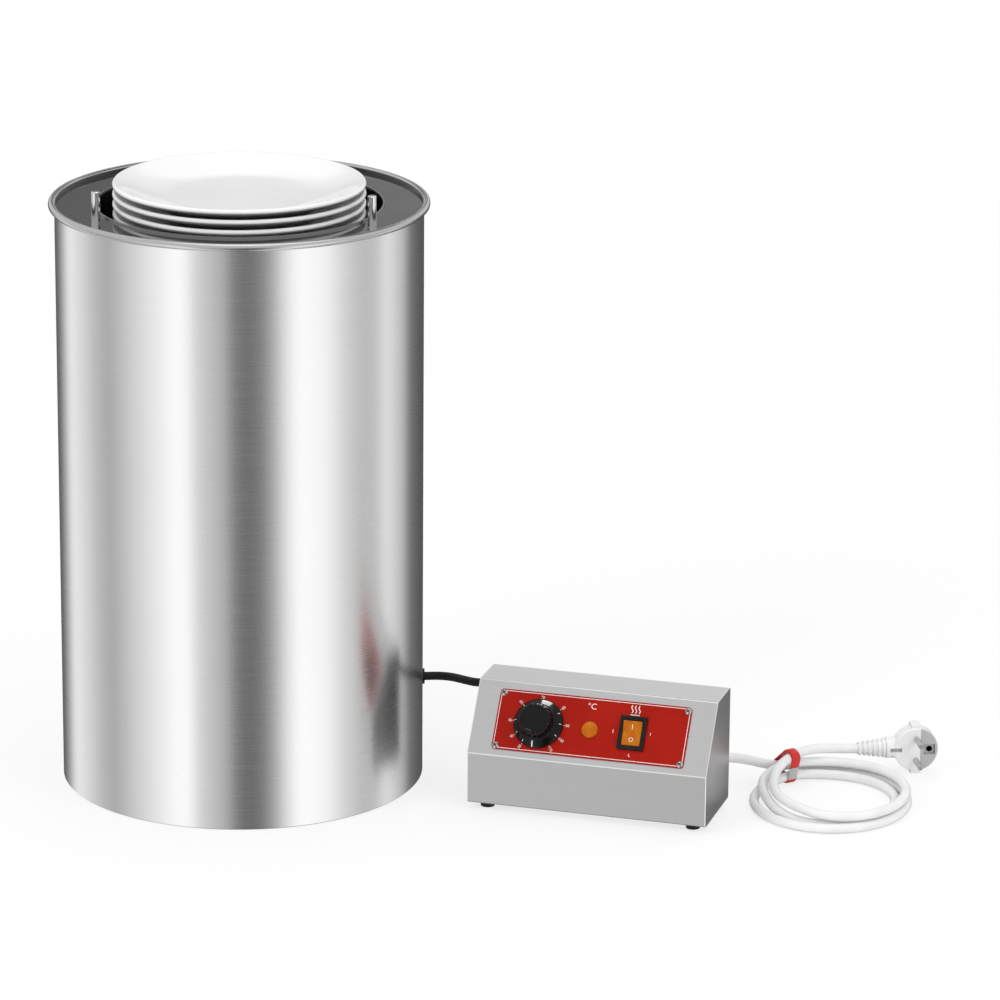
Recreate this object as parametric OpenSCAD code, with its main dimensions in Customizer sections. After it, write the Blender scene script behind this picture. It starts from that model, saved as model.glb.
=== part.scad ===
// Round self-levelling plate warmer with its separate control box.
// The origin is the centre of the drum's base on the floor, Z is up, and the
// control box stands on the +X side with its panel facing -Y.

/* [Drum] */
// Outer diameter of the drum
drum_d = 300; // [290:1:330]
// Height of the drum to the top of its rolled edge
drum_h = 490; // [480:1:560]
// Thickness of the drum, well and deck sheet
sheet_t = 1.2; // [0.8:0.1:1.6]
// Diameter of the rolled edge
bead_d = 6; // [5:0.5:8]
// How far the middle of the rolled edge stands outside the drum's wall
bead_out = 2; // [1:0.5:2.5]
// Thickness of the base plate
base_t = 2; // [2:0.5:4]
// Width of the turned-in foot flange that the base plate is screwed to
foot_flange_w = 12; // [12:1:16]

/* [Well and deck] */
// Width of the deck, from the drum's wall to the inside of the well
deck_w = 33.3; // [32:0.1:36]
// Depth of the deck below the top of the rolled edge
deck_drop = 4.5; // [4:0.5:10]
// Height of the well's lip above the deck
well_lip = 1.5; // [1:0.5:3]
// Width of the three slots that the carrier's arms pass through
slot_w = 14; // [14:0.5:17]
// Diameter of the steel posts on the deck
post_d = 7; // [6:0.5:8]
// Height of the posts above the deck
post_h = 21.8; // [12:0.2:40]
// How far outside the well's inner edge the posts stand
post_out = 7.3; // [6.5:0.1:13]

/* [Plates] */
// Gap between the plates and the well
plate_play = 13.7; // [9:0.1:20]
// Height of one plate
plate_h = 20; // [18:0.5:24]
// Step between plates in the stack
plate_pitch = 8.3; // [7.5:0.1:10]
// Number of plates in the stack, the top one included
plate_count = 12; // [3:1:16]
// How far the top plate's rim stands above the drum
stack_proud = 15; // [5:1:25]

/* [Carrier and springs] */
// How far the platform reaches past the edge of the plates
platform_over = 1; // [0:0.5:5]
// Travel of the carrier above its rest height, to the empty position
carrier_up = 90; // [60:1:95]
// Travel of the carrier below its rest height, fully loaded
carrier_down = 226; // [150:1:228]
// Distance from the platform down to the arms
column_h = 106; // [90:1:112]
// Width of the three arms
arm_w = 12; // [8:0.5:12]
// Thickness of the three arms
arm_t = 4; // [3:0.5:5]
// Outer diameter of a spring
spring_d = 14; // [10:0.5:16]
// Diameter of the spring wire
wire_d = 2; // [1.2:0.1:2.4]
// Number of curls in each spring
spring_curls = 16; // [10:1:20]

/* [Heater] */
// Distance from the well to the ring heater's centre line
heater_in = 31.7; // [25:0.1:50]
// Diameter of the heater tube
heater_d = 8; // [6:0.5:9]
// Height of the heater's centre line above the floor
heater_z = 34; // [30:1:38]
// Height of the reflector plate above the floor
reflector_z = 14; // [12:1:16]

/* [Control box] */
// Gap between the drum's wall and the control box
box_gap = 57.6; // [45:0.2:110]
// Rear face of the control box, measured from the drum's centre
box_back = 36.5; // [0:0.5:60]
// Width of the control box
box_w = 201.8; // [200:0.2:240]
// Depth of the control box at its base
box_depth = 76.3; // [74:0.1:90]
// Depth of the flat top
box_top_depth = 39.9; // [36:0.1:46]
// Height of the control box above the floor
box_h = 101.4; // [100:0.2:120]
// Height of the bend between the front and the sloped panel
bend_h = 49; // [46:0.5:50]
// Thickness of the box sheet
box_t = 1.2; // [0.8:0.1:1.6]
// Outer radius of the folded edges
fold_r = 2; // [1.8:0.1:3]
// Height of the rubber feet
foot_h = 6; // [4:0.5:10]
// Largest diameter of the rubber feet
foot_d = 13; // [12:0.5:16]

/* [Panel] */
// Width of the red panel
panel_w = 162; // [160:0.5:170]
// Height of the red panel, along the slope
panel_h = 51.5; // [50:0.5:54]
// Thickness of the red panel
panel_t = 1; // [0.6:0.1:1.5]
// Diameter of the dial's skirt
dial_d = 41.7; // [40:0.1:44]
// Diameter of the dial's grip
grip_d = 28; // [26:0.5:30]
// Height of the dial above the panel
dial_h = 17.2; // [14:0.2:22]
// Diameter of the pilot lamp's lens
lamp_d = 13.7; // [12:0.1:16]
// Width of the switch's frame
bezel_w = 22.3; // [22:0.1:26]
// Height of the switch's frame
bezel_h = 28.3; // [28:0.1:32]
// Tilt of the rocker at rest, its lower half pressed
rocker_tilt = 8; // [6:0.5:9]

/* [Cords] */
// Diameter of the white mains cord
mains_d = 8; // [7:0.1:8]
// Diameter of the black cable between drum and box
link_d = 7; // [5:0.1:7]
// Middle radius of the coil's outer turn
coil_r = 66.5; // [64:0.5:72]
// Number of turns in the coil
coil_turns = 3; // [3:1:3]

/* [Plug] */
// Diameter of the plug's face
plug_d = 37.2; // [36:0.1:38]
// Distance between the two pins
pin_gap = 19; // [18:0.1:20]
// Diameter of a pin
pin_d = 4.8; // [4:0.1:5]
// Length of a pin
pin_l = 19; // [17:0.1:20]

/* [Hidden] */
$fn = 96;
cut = 0.5;          // how far a cutting solid runs past a face
slip = 0.1;         // clearance of a part that is pushed in by hand
run = 0.05;         // radial clearance of a turning fit

drum_r = drum_d / 2;
drum_inner_r = drum_r - sheet_t;
deck_z = drum_h - deck_drop;
well_r = drum_r - deck_w;
well_outer_r = well_r + sheet_t;
post_ring_r = well_r + post_out;
plate_r = well_r - plate_play;
platform_r = plate_r + platform_over;
spring_ring_r = (well_outer_r + drum_inner_r) / 2;   // midway between the well and the drum
heater_ring_r = well_r - heater_in;
box_left = drum_r + box_gap;
well_foot_w = 11;
deck_skirt_h = 12;
lift_angles = [90, 210, 330];
post_angles = [221, 348];
post_stud_d = 5;
post_nut_af = 8;
post_nut_h = 4;
post_chamfer = 0.6;

// countersunk base screws
base_screw_d = 4;
base_screw_head_d = 8;
base_nut_af = 7;
base_nut_h = 3.2;
base_screw_l = base_t + sheet_t + base_nut_h + 1;
shell_screw_r = drum_inner_r - foot_flange_w / 2;
shell_screw_angles = [for (i = [0:5]) 30 + 60 * i];
well_screw_r = well_outer_r + well_foot_w / 2 + 0.5;
well_screw_angles = [0, 120, 240];
well_foot_z = base_t;

// one plate: foot ring, floor, sloping rim and rounded lip
plate_foot_r = plate_r - 50;
plate_foot_w = 6;
plate_floor_t = 4.8;
plate_rim_w = 25;
plate_rim_drop = 8.6;
plate_lip_r = 2.2;

// plates and carrier at rest
platform_t = 1.5;
platform_skirt_h = 8;
platform_z = drum_h + stack_proud - plate_h - (plate_count - 1) * plate_pitch;
spider_z = platform_z - platform_t - column_h;
column_r = 15;
column_wall = 1.5;
column_flange_r = 27;
column_flange_t = 2;
rivet_d = 4;
rivet_head_d = 7;
rivet_head_h = 1.4;
carrier_rivet_r = 21;
carrier_rivet_angles = [30, 150, 270];
// rings of vent holes: place between the column's flange and the platform's edge, count, diameter
vent_rings = [[0.195, 8, 10], [0.506, 12, 12], [0.792, 16, 12]];
shoe_h = 16;
shoe_flange_w = 20;
shoe_flange_t = 3.2;
shoe_gap = 0.25;
slot_play = 0.2;
slot_margin = 6;
slot_low_z = spider_z - carrier_down - shoe_h / 2 - slot_margin;
slot_high_z = spider_z + arm_t + carrier_up + shoe_h / 2 + slot_margin;

// springs
hanger_t = 3;
hanger_w = 18;
hanger_z = deck_z - deck_skirt_h - 1.5;
hanger_leg_h = 24;
hanger_rivet_top = 7;
hanger_rivet_step = 10;
rivet_play = 0.2;
ferrule_d = 8;
ferrule_h = 6;
arm_end_r = spring_ring_r + ferrule_d / 2 + 2;
spring_top_z = hanger_z - hanger_t - ferrule_h;
spring_low_z = spider_z + arm_t + ferrule_h;
spring_leg = 9;
curl_sides = 6;
curl_rings = 8;

// heater
reflector_r = well_r - 4.7;
reflector_rim_h = 6;
spacer_d = 8;
spacer_ring_r = heater_ring_r - 27;
spacer_angles = [0, 120, 240];
heater_gap_a = 24;
leg_d = heater_d + 1.5;
heater_leg_low_z = base_t + 4;
bush_d = 14;
bush_flange_d = 18;
clip_w = 12;
clip_t = 8;
clip_angles = [90, 180, 270];
cutout_ring_r = 32;
cutout_a = 60;
cutout_d = 16;
cutout_h = 8;
probe_d = 6;
probe_a = 60;
probe_low_z = 120;
probe_l = 70;
probe_wire_d = 2;
probe_wire_l = 25;
probe_clip_w = 16;
probe_clip_h = 12;

// flat terminals of the cutout and the switch
tab_w = 4.8;
tab_t = 0.8;
tab_l = 7.5;

// cable grommets
grommet_lip_d = 13;
grommet_neck_d = 10;
grommet_lip_t = 1.5;
drum_exit_a = 19.5;
drum_exit_z = 79;
box_entry_y = box_back - 8.5;
box_entry_z = 86.5;

// control box
box_front = box_back - box_depth;
box_base_z = foot_h;
slope_run = box_depth - box_top_depth;
slope_rise = box_h - bend_h;
slope_l = sqrt(slope_run * slope_run + slope_rise * slope_rise);
panel_tilt = atan2(slope_rise, slope_run);
box_flange_w = 19;
box_plate_t = 1.2;
box_plate_gap = 0.2;
foot_inset_x = 13.8;
foot_inset_y = 14;
foot_screw_d = 4;
foot_bore_d = 7.6;
foot_web_t = 2.2;

// panel layout: u runs right from the box's left face, v up the slope, w outwards
panel_u = (box_w - panel_w) / 2 - 0.4;
panel_v = (slope_l - panel_h) / 2 - 0.7;
panel_corner_r = 3;
panel_screw_in = 3.2;
panel_screw_d = 3;
dial_u = panel_u + 36.4;
dial_v = panel_v + 24.6;
lamp_u = panel_u + 80;
lamp_v = panel_v + 24;
switch_u = panel_u + 115.6;
switch_v = panel_v + 24.7;

// dial
dial_gap = 0.6;
skirt_edge_h = 1.7;
skirt_h = 5.4;
shaft_d = 6;
shaft_low_w = -8.5;
thermostat_w = 36;
thermostat_depth = 24;
seat_gap = 0.02;       // between the thermostat and the sheet that it is screwed to
bushing_d = 10;
bushing_h = 3;
thermostat_screw_u = 14;
flute_count = 18;
flute_d = 3;

// switch and lamp
bezel_t = 2;
rocker_w = 15.5;
rocker_l = 20.4;
rocker_play = 0.3;
rocker_swing_play = 0.6;
rocker_axis_w = 0.4;
rocker_end_h = 3.6;
rocker_mid_h = 2.3;
collar_w = 19.2;
collar_h = 25.2;
collar_depth = 8;
switch_depth = 24;
tab_step = 8;
rocker_pin_d = 2.5;
rocker_pin_l = 18.6;
lamp_neck_d = 10;
lamp_depth = 20;

// terminal block on the box's base
block_l = 60;
block_w = 18;
block_h = 16;
block_right_in = 31.8;
block_back_in = 22;
block_ways = 6;
block_bore_d = 4;

// mains cord: a straight stretch, the coil, and a straight stretch to the plug
mains_r = mains_d / 2;
mains_exit_x = box_left + box_w - 19.4;
mains_exit_z = 26;
relief_flange_d = 16;
relief_neck_d = 12;
relief_l = 24;
coil_centre = [mains_exit_x + 100, box_back + 24.5];
coil_start_a = 138;
coil_oval = 3;
tie_w = 9;
coil_straight = tie_w / 2 + 0.5;
coil_step = 8.7;
coil_layer = 8.8;
tie_lift = 2.3;
tie_t = 1.2;
tie_gap = 0.5;
coil_sides = 6;
coil_rings = 24;
coil_last = coil_turns * coil_rings;
cord_sides = 8;

// points along the mains cord between the strain relief and the coil, from the box's exit
cord_from = [mains_exit_x, box_back, 0];
lead_route = [for (p = [
    [0, -2.5, 26], [0, 11.5, 26], [0, 24.5, 26], [0.8, 32.3, 25.9], [3.7, 39.7, 25.3],
    [8.5, 45.8, 24.2], [14.5, 50.6, 22.5], [20.9, 54.7, 20.5], [27.4, 58.6, 18.1],
    [33.5, 62.7, 15.3]]) cord_from + p];
// points along the mains cord between the coil and the plug
tail_route = [for (p = [
    [64.4, 76.5, 25.4], [69, 82.8, 25.1], [74.5, 88.5, 24.4], [80.8, 93.7, 23.4],
    [87.3, 98.3, 22.4], [92, 101.3, 21.7]]) cord_from + p];
// points along the black cable, each at a share of its way from the drum to the box
link_in = 0.95;
link_out = [cos(drum_exit_a), sin(drum_exit_a), 0];
link_from = (drum_r - link_in) * link_out + [0, 0, drum_exit_z];
link_to = [box_left + link_in, box_entry_y, box_entry_z];
link_bend_from = link_from + 5.8 * link_out;
link_bend_to = link_to - [7.6, 0, 0];
link_route = concat([link_from, link_bend_from],
    [for (p = [
        [0.11, 3.907, -0.329], [0.237, 6.32, -0.71], [0.364, 6.533, -0.592],
        [0.491, 4.947, -0.474], [0.618, 2.56, -0.355], [0.746, 0.373, -0.237],
        [0.873, -1.013, -0.118]])
        link_bend_from + p[0] * (link_bend_to - link_bend_from) + [0, p[1], p[2]]],
    [link_bend_to, link_to]);

// plug
plug_centre = [mains_exit_x + 147.8, box_back + 126.6];
plug_turn = 24;
plug_lug = 2.6;
plug_z = plug_d / 2 + plug_lug;
plug_thick = 17.5;
plug_neck_z = -8.8;
plug_neck_r = 8.8;
boot_from_x = -24;
boot_to_x = -48;
boot_r = 8.2;
boot_end_r = 5.4;
boot_ribs = 5;

steel = [0.78, 0.79, 0.8];
dark_steel = [0.35, 0.35, 0.36];
bright_steel = [0.85, 0.86, 0.87];
porcelain = [0.96, 0.96, 0.95];
panel_red = [0.72, 0.11, 0.08];
amber = [0.86, 0.5, 0.08];
black = [0.05, 0.05, 0.055];
cord_white = [0.93, 0.93, 0.92];

// ---------- helpers ----------

// Eases from 0 to 1 while x goes from 0 to 1
function ease(x) = let (c = min(1, max(0, x))) c * c * (3 - 2 * c);

function unit(v) = v / norm(v);

// Moves each side of a convex outline inwards by t
function inset(pts, t) = [
    for (i = [0:len(pts) - 1])
        let (n = len(pts), p = pts[i],
             a = unit(p - pts[(i + n - 1) % n]), b = unit(pts[(i + 1) % n] - p),
             na = [-a[1], a[0]], nb = [-b[1], b[0]])
        p + t * (na + nb) / (1 + na * nb)];

// Rounds each corner of a convex outline with an arc of radius r
function rounded(pts, r, steps = 6) = [
    for (i = [0:len(pts) - 1])
        let (n = len(pts), p = pts[i],
             a = unit(pts[(i + n - 1) % n] - p), b = unit(pts[(i + 1) % n] - p),
             half = acos(a * b) / 2, c = p + unit(a + b) * r / sin(half),
             s = p + a * r / tan(half) - c, e = p + b * r / tan(half) - c)
        for (k = [0:steps])
            c + r * unit(s * (1 - k / steps) + e * k / steps)];

module ring(outer_r, inner_r, h) {
    difference() {
        cylinder(r = outer_r, h = h);
        translate([0, 0, -cut]) cylinder(r = inner_r, h = h + 2 * cut);
    }
}

module polar(angles, r = 0, z = 0) {
    for (a = angles) rotate([0, 0, a]) translate([r, 0, z]) children();
}

module hex_nut(af, h, bore_d) {
    difference() {
        cylinder(r = af / sqrt(3), h = h, $fn = 6);
        translate([0, 0, -cut]) cylinder(d = bore_d, h = h + 2 * cut);
    }
}

module rounded_plate(w, h, t, r) {
    linear_extrude(t) {
        translate([r, 0]) square([w - 2 * r, h]);
        translate([0, r]) square([w, h - 2 * r]);
        for (x = [r, w - r], y = [r, h - r]) translate([x, y]) circle(r = r);
    }
}

// One ring of a tube: sides points around p, square to the tangent t, turned from side vector up
function tube_ring(p, t, up, r, sides) =
    let (n = unit(up - (up * t) * t), b = cross(t, n))
    [for (j = [0:sides - 1]) p + r * (cos(360 * j / sides) * n + sin(360 * j / sides) * b)];

// The direction of a list of points at point i
function heading(pts, i) = unit(pts[min(i + 1, len(pts) - 1)] - pts[max(i - 1, 0)]);

// One unbroken tube along pts; ups gives a side vector for each point
module tube(pts, r, sides, ups) {
    n = len(pts);
    rings = [for (i = [0:n - 1]) each tube_ring(pts[i], heading(pts, i), ups[i], r, sides)];
    walls = [for (i = [0:n - 2], j = [0:sides - 1])
        let (k = (j + 1) % sides, a = i * sides, b = a + sides)
        each [[a + j, b + j, b + k], [a + j, b + k, a + k]]];
    near_end = [for (j = [0:sides - 1]) j];
    far_end = [for (j = [sides - 1:-1:0]) (n - 1) * sides + j];
    polyhedron(points = rings, faces = concat(walls, [near_end, far_end]), convexity = 10);
}

module cord_tube(pts, d) {
    tube(pts, d / 2, cord_sides, [for (p = pts) [0, 0, 1]]);
}

// ---------- drum ----------

module drum_hole(r) {
    rotate([0, 0, drum_exit_a]) translate([drum_inner_r - 5, 0, drum_exit_z]) rotate([0, 90, 0])
        cylinder(r = r, h = 12);
}

module drum_shell() {
    color(steel) difference() {
        rotate_extrude() {
            translate([drum_inner_r, 0]) square([sheet_t, drum_h - bead_d / 2]);
            translate([drum_inner_r - foot_flange_w, base_t]) square([foot_flange_w + cut, sheet_t]);
            translate([drum_r + bead_out, drum_h - bead_d / 2]) circle(d = bead_d, $fn = 48);
        }
        polar(shell_screw_angles, shell_screw_r, base_t - cut)
            cylinder(d = base_screw_d + 2 * slip, h = sheet_t + 2 * cut);
        drum_hole(grommet_neck_d / 2 + slip);
    }
}

module base_screw_places() {
    polar(shell_screw_angles, shell_screw_r) children();
    polar(well_screw_angles, well_screw_r) children();
}

module base_plate() {
    color(steel) difference() {
        cylinder(r = drum_inner_r - slip, h = base_t);
        base_screw_places() {
            translate([0, 0, -cut]) cylinder(d = base_screw_d + 2 * slip, h = base_t + 2 * cut);
            cylinder(d1 = base_screw_head_d + 2 * slip, d2 = base_screw_d + 2 * slip, h = base_t);
        }
    }
}

module base_screws() {
    color(bright_steel) base_screw_places() {
        cylinder(d1 = base_screw_head_d, d2 = base_screw_d, h = base_t);
        cylinder(d = base_screw_d, h = base_screw_l);
    }
}

module base_nuts() {
    color(bright_steel) base_screw_places() translate([0, 0, base_t + sheet_t])
        hex_nut(base_nut_af, base_nut_h, base_screw_d + 2 * run);
}

module top_deck() {
    color(dark_steel) difference() {
        union() {
            translate([0, 0, deck_z - sheet_t])
                ring(drum_inner_r - slip, well_outer_r + 2 * slip, sheet_t);
            translate([0, 0, deck_z - deck_skirt_h])
                ring(drum_inner_r - slip, drum_inner_r - slip - sheet_t, deck_skirt_h);
        }
        polar(post_angles, post_ring_r, deck_z - sheet_t - cut)
            cylinder(d = post_stud_d + 2 * slip, h = sheet_t + 2 * cut);
    }
}

module rivet_places() {
    polar(lift_angles) for (dz = [hanger_rivet_top, hanger_rivet_top + hanger_rivet_step])
        translate([well_r, 0, hanger_z - dz]) rotate([0, 90, 0]) children();
}

module well_tube() {
    color(steel) difference() {
        rotate_extrude() {
            translate([well_r, well_foot_z]) square([sheet_t, deck_z + well_lip - well_foot_z]);
            translate([well_r, well_foot_z]) square([sheet_t + well_foot_w, sheet_t]);
        }
        polar(lift_angles, well_r - 3, slot_low_z) translate([0, -slot_w / 2, 0])
            cube([sheet_t + 6, slot_w, slot_high_z - slot_low_z]);
        polar(well_screw_angles, well_screw_r, well_foot_z - cut)
            cylinder(d = base_screw_d + 2 * slip, h = sheet_t + 2 * cut);
        rivet_places() translate([0, 0, -3]) cylinder(d = rivet_d + 2 * run, h = 8);
    }
}

module locating_posts() {
    color(bright_steel) polar(post_angles, post_ring_r, deck_z) {
        cylinder(d = post_d, h = post_h - post_chamfer);
        translate([0, 0, post_h - post_chamfer])
            cylinder(d1 = post_d, d2 = post_d - 2 * post_chamfer, h = post_chamfer);
        translate([0, 0, -sheet_t - post_nut_h - 2])
            cylinder(d = post_stud_d, h = sheet_t + post_nut_h + 2.5);
    }
}

module post_nuts() {
    color(bright_steel) polar(post_angles, post_ring_r, deck_z - sheet_t - post_nut_h)
        hex_nut(post_nut_af, post_nut_h, post_stud_d + 2 * run);
}

// ---------- springs and carrier ----------

module spring_hangers() {
    color(steel) difference() {
        polar(lift_angles) {
            translate([well_r, -hanger_w / 2, hanger_z - hanger_t])
                cube([arm_end_r - well_r, hanger_w, hanger_t]);
            translate([well_r, -hanger_w / 2, hanger_z - hanger_leg_h])
                cube([sheet_t + hanger_t, hanger_w, hanger_leg_h]);
            translate([spring_ring_r, 0, spring_top_z])
                cylinder(d = ferrule_d, h = ferrule_h + cut);
        }
        translate([0, 0, hanger_z - hanger_leg_h - cut])
            cylinder(r = well_outer_r + slip, h = hanger_leg_h + 2 * cut);
        rivet_places() cylinder(d = rivet_d + 2 * run, h = 8);
    }
}

module hanger_rivets() {
    color(bright_steel) rivet_places() {
        translate([0, 0, -rivet_head_h - slip]) cylinder(d = rivet_head_d, h = rivet_head_h);
        translate([0, 0, -slip - rivet_play])
            cylinder(d = rivet_d, h = sheet_t + hanger_t + 2 * rivet_play);
        translate([0, 0, sheet_t + hanger_t]) cylinder(d = rivet_head_d, h = rivet_head_h);
    }
}

// Place along one spring: q runs from 0 at the lower end to 1 at the upper end
spring_r = (spring_d - wire_d) / 2;
coil_low_z = spring_low_z + spring_leg;
coil_high_z = spring_top_z - spring_leg;
function curl_point(turn) =
    let (a = 360 * turn, r = spring_r * ease(2 * turn) * ease(2 * (spring_curls - turn)))
    [r * cos(a), r * sin(a),
     coil_low_z + (coil_high_z - coil_low_z) * turn / spring_curls];
spring_turns = [for (i = [1:spring_curls * curl_rings - 1]) i / curl_rings];
spring_path = concat(
    [[0, 0, spring_low_z], [0, 0, spring_low_z + wire_d]],
    [for (t = spring_turns) curl_point(t)],
    [[0, 0, spring_top_z - wire_d], [0, 0, spring_top_z]]);
spring_ups = concat(
    [[1, 0, 0], [1, 0, 0]],
    [for (t = spring_turns) [cos(360 * t), sin(360 * t), 0]],
    [[1, 0, 0], [1, 0, 0]]);

module lift_springs() {
    color(bright_steel) polar(lift_angles, spring_ring_r)
        tube(spring_path, wire_d / 2, curl_sides, spring_ups);
}

module plate_platform() {
    color(steel) difference() {
        union() {
            translate([0, 0, platform_z - platform_t]) cylinder(r = platform_r, h = platform_t);
            translate([0, 0, platform_z - platform_skirt_h])
                ring(platform_r, platform_r - platform_t, platform_skirt_h);
        }
        for (v = vent_rings)
            polar([for (i = [0:v[1] - 1]) 360 * i / v[1]],
                column_flange_r + v[0] * (platform_r - column_flange_r),
                platform_z - platform_t - cut)
                cylinder(d = v[2], h = platform_t + 2 * cut, $fn = 24);
        polar(carrier_rivet_angles, carrier_rivet_r, platform_z - platform_t - cut)
            cylinder(d = rivet_d + 2 * run, h = platform_t + 2 * cut);
    }
}

module carrier_column() {
    column_z = spider_z + arm_t;
    column_l = platform_z - platform_t - column_z;
    color(steel) difference() {
        translate([0, 0, column_z]) union() {
            cylinder(r = column_r, h = column_l);
            for (z = [0, column_l - column_flange_t])
                translate([0, 0, z]) cylinder(r = column_flange_r, h = column_flange_t);
        }
        translate([0, 0, column_z - cut]) cylinder(r = column_r - column_wall, h = column_l + 2 * cut);
        polar(carrier_rivet_angles, carrier_rivet_r, column_z - cut)
            cylinder(d = rivet_d + 2 * run, h = column_l + 2 * cut);
    }
}

module carrier_spider() {
    color(steel) difference() {
        union() {
            translate([0, 0, spider_z]) cylinder(r = column_flange_r + 1, h = arm_t);
            polar(lift_angles) {
                translate([0, -arm_w / 2, spider_z]) cube([arm_end_r, arm_w, arm_t]);
                translate([spring_ring_r, 0, spider_z])
                    cylinder(d = ferrule_d, h = arm_t + ferrule_h);
            }
        }
        polar(carrier_rivet_angles, carrier_rivet_r, spider_z - cut)
            cylinder(d = rivet_d + 2 * run, h = arm_t + 2 * cut);
    }
}

// A rivet through two sheets, from z low to z high
module clamp_rivet(low, high) {
    translate([0, 0, low]) cylinder(d = rivet_d, h = high - low);
    translate([0, 0, low - rivet_head_h]) cylinder(d = rivet_head_d, h = rivet_head_h);
    translate([0, 0, high]) cylinder(d = rivet_head_d, h = rivet_head_h);
}

module carrier_rivets() {
    color(bright_steel) polar(carrier_rivet_angles, carrier_rivet_r) {
        clamp_rivet(spider_z, spider_z + arm_t + column_flange_t);
        clamp_rivet(platform_z - platform_t - column_flange_t, platform_z);
    }
}

module guide_shoes() {
    inner_x = well_r - shoe_gap - 0.45 - shoe_flange_t;
    outer_x = well_outer_r + shoe_gap;
    shoe_z = spider_z + arm_t / 2 - shoe_h / 2;
    color("ivory") polar(lift_angles) difference() {
        union() {
            translate([inner_x, -slot_w / 2 + slot_play, shoe_z])
                cube([outer_x + shoe_flange_t - inner_x, slot_w - 2 * slot_play, shoe_h]);
            for (x = [inner_x, outer_x])
                translate([x, -shoe_flange_w / 2, shoe_z]) cube([shoe_flange_t, shoe_flange_w, shoe_h]);
        }
        translate([inner_x - cut, -arm_w / 2 - slip, spider_z - slip])
            cube([outer_x + shoe_flange_t - inner_x + 2 * cut, arm_w + 2 * slip, arm_t + 2 * slip]);
    }
}

// ---------- heater ----------

module reflector_plate() {
    color(bright_steel) difference() {
        translate([0, 0, reflector_z]) union() {
            cylinder(r = reflector_r, h = sheet_t);
            ring(reflector_r, reflector_r - sheet_t, sheet_t + reflector_rim_h);
        }
        polar([-heater_gap_a / 2, heater_gap_a / 2], heater_ring_r, reflector_z - cut)
            cylinder(d = bush_d + 2 * slip, h = sheet_t + 2 * cut);
    }
}

module reflector_spacers() {
    color(steel) polar(spacer_angles, spacer_ring_r, base_t)
        cylinder(d = spacer_d, h = reflector_z - base_t);
}

module ring_heater() {
    color([0.3, 0.29, 0.28]) {
        rotate([0, 0, heater_gap_a / 2]) translate([0, 0, heater_z])
            rotate_extrude(angle = 360 - heater_gap_a)
                translate([heater_ring_r, 0]) circle(d = heater_d, $fn = 32);
        polar([-heater_gap_a / 2, heater_gap_a / 2], heater_ring_r, heater_leg_low_z)
            cylinder(d = leg_d, h = heater_z + leg_d / 2 + 1 - heater_leg_low_z);
    }
}

module heater_bushes() {
    color("linen") polar([-heater_gap_a / 2, heater_gap_a / 2], heater_ring_r) {
        translate([0, 0, reflector_z - 4])
            ring(bush_d / 2, leg_d / 2 + slip, sheet_t + 6);
        translate([0, 0, reflector_z + sheet_t])
            ring(bush_flange_d / 2, leg_d / 2 + slip, 2);
    }
}

module heater_clips() {
    clip_h = heater_z + heater_d / 2 + 1.5 - reflector_z - sheet_t;
    color(steel) difference() {
        polar(clip_angles, heater_ring_r, reflector_z + sheet_t)
            translate([-clip_w / 2, -clip_t / 2, 0]) cube([clip_w, clip_t, clip_h]);
        translate([0, 0, heater_z]) rotate_extrude()
            translate([heater_ring_r, 0]) circle(d = heater_d + 2 * slip, $fn = 32);
    }
}

module overheat_cutout() {
    color(black) rotate([0, 0, cutout_a]) translate([cutout_ring_r, 0, reflector_z + sheet_t]) {
        cylinder(d = cutout_d, h = cutout_h);
        for (s = [-1, 1]) translate([-tab_t / 2, s * cutout_d / 4 - tab_w / 2, cutout_h - cut])
            cube([tab_t, tab_w, tab_l]);
    }
}

module temperature_probe() {
    color(bright_steel) rotate([0, 0, probe_a])
        translate([well_outer_r + probe_d / 2 + 0.3, 0, probe_low_z]) {
            cylinder(d = probe_d, h = probe_l);
            cylinder(d = probe_wire_d, h = probe_l + probe_wire_l);
        }
}

module probe_clip() {
    color(steel) rotate([0, 0, probe_a]) difference() {
        translate([well_r, -probe_clip_w / 2, probe_low_z + (probe_l - probe_clip_h) / 2])
            cube([sheet_t + probe_d + 2, probe_clip_w, probe_clip_h]);
        translate([0, 0, probe_low_z]) cylinder(r = well_outer_r + slip, h = probe_l);
        translate([well_outer_r + probe_d / 2 + 0.3, 0, probe_low_z])
            cylinder(d = probe_d + 2 * slip, h = probe_l);
    }
}

// ---------- plates ----------

// One plate with its foot at z = 0: a flat well, a rising rim and a rounded lip
module plate() {
    foot_side = plate_foot_w / 2;
    foot_side_z = plate_pitch - plate_floor_t;
    rim_r = plate_r - plate_rim_w;
    floor_r = plate_foot_r + 5.7;
    rotate_extrude() {
        polygon([
            [0, foot_side_z], [plate_foot_r - plate_foot_w - foot_side, foot_side_z],
            [plate_foot_r - plate_foot_w, 0], [plate_foot_r, 0],
            [plate_foot_r + foot_side, foot_side_z - 0.5], [rim_r - 14, foot_side_z + 0.8],
            [rim_r, plate_h - plate_rim_drop - 4.7],
            [plate_r - 4, plate_h - 4.9], [plate_r - plate_lip_r - 0.4, plate_h - 2 * plate_lip_r],
            [plate_r - plate_lip_r, plate_h], [plate_r - 8, plate_h - 1.7],
            [rim_r, plate_h - plate_rim_drop], [floor_r + 5, plate_pitch + 0.7],
            [floor_r, plate_pitch], [0, plate_pitch]]);
        translate([plate_r - plate_lip_r, plate_h - plate_lip_r])
            circle(r = plate_lip_r, $fn = 32);
    }
}

module plate_stack() {
    color(porcelain) for (i = [0:plate_count - 2])
        translate([0, 0, platform_z + i * plate_pitch]) plate();
}

module top_plate() {
    color(porcelain) translate([0, 0, platform_z + (plate_count - 1) * plate_pitch]) plate();
}

// ---------- cable between drum and box ----------

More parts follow.
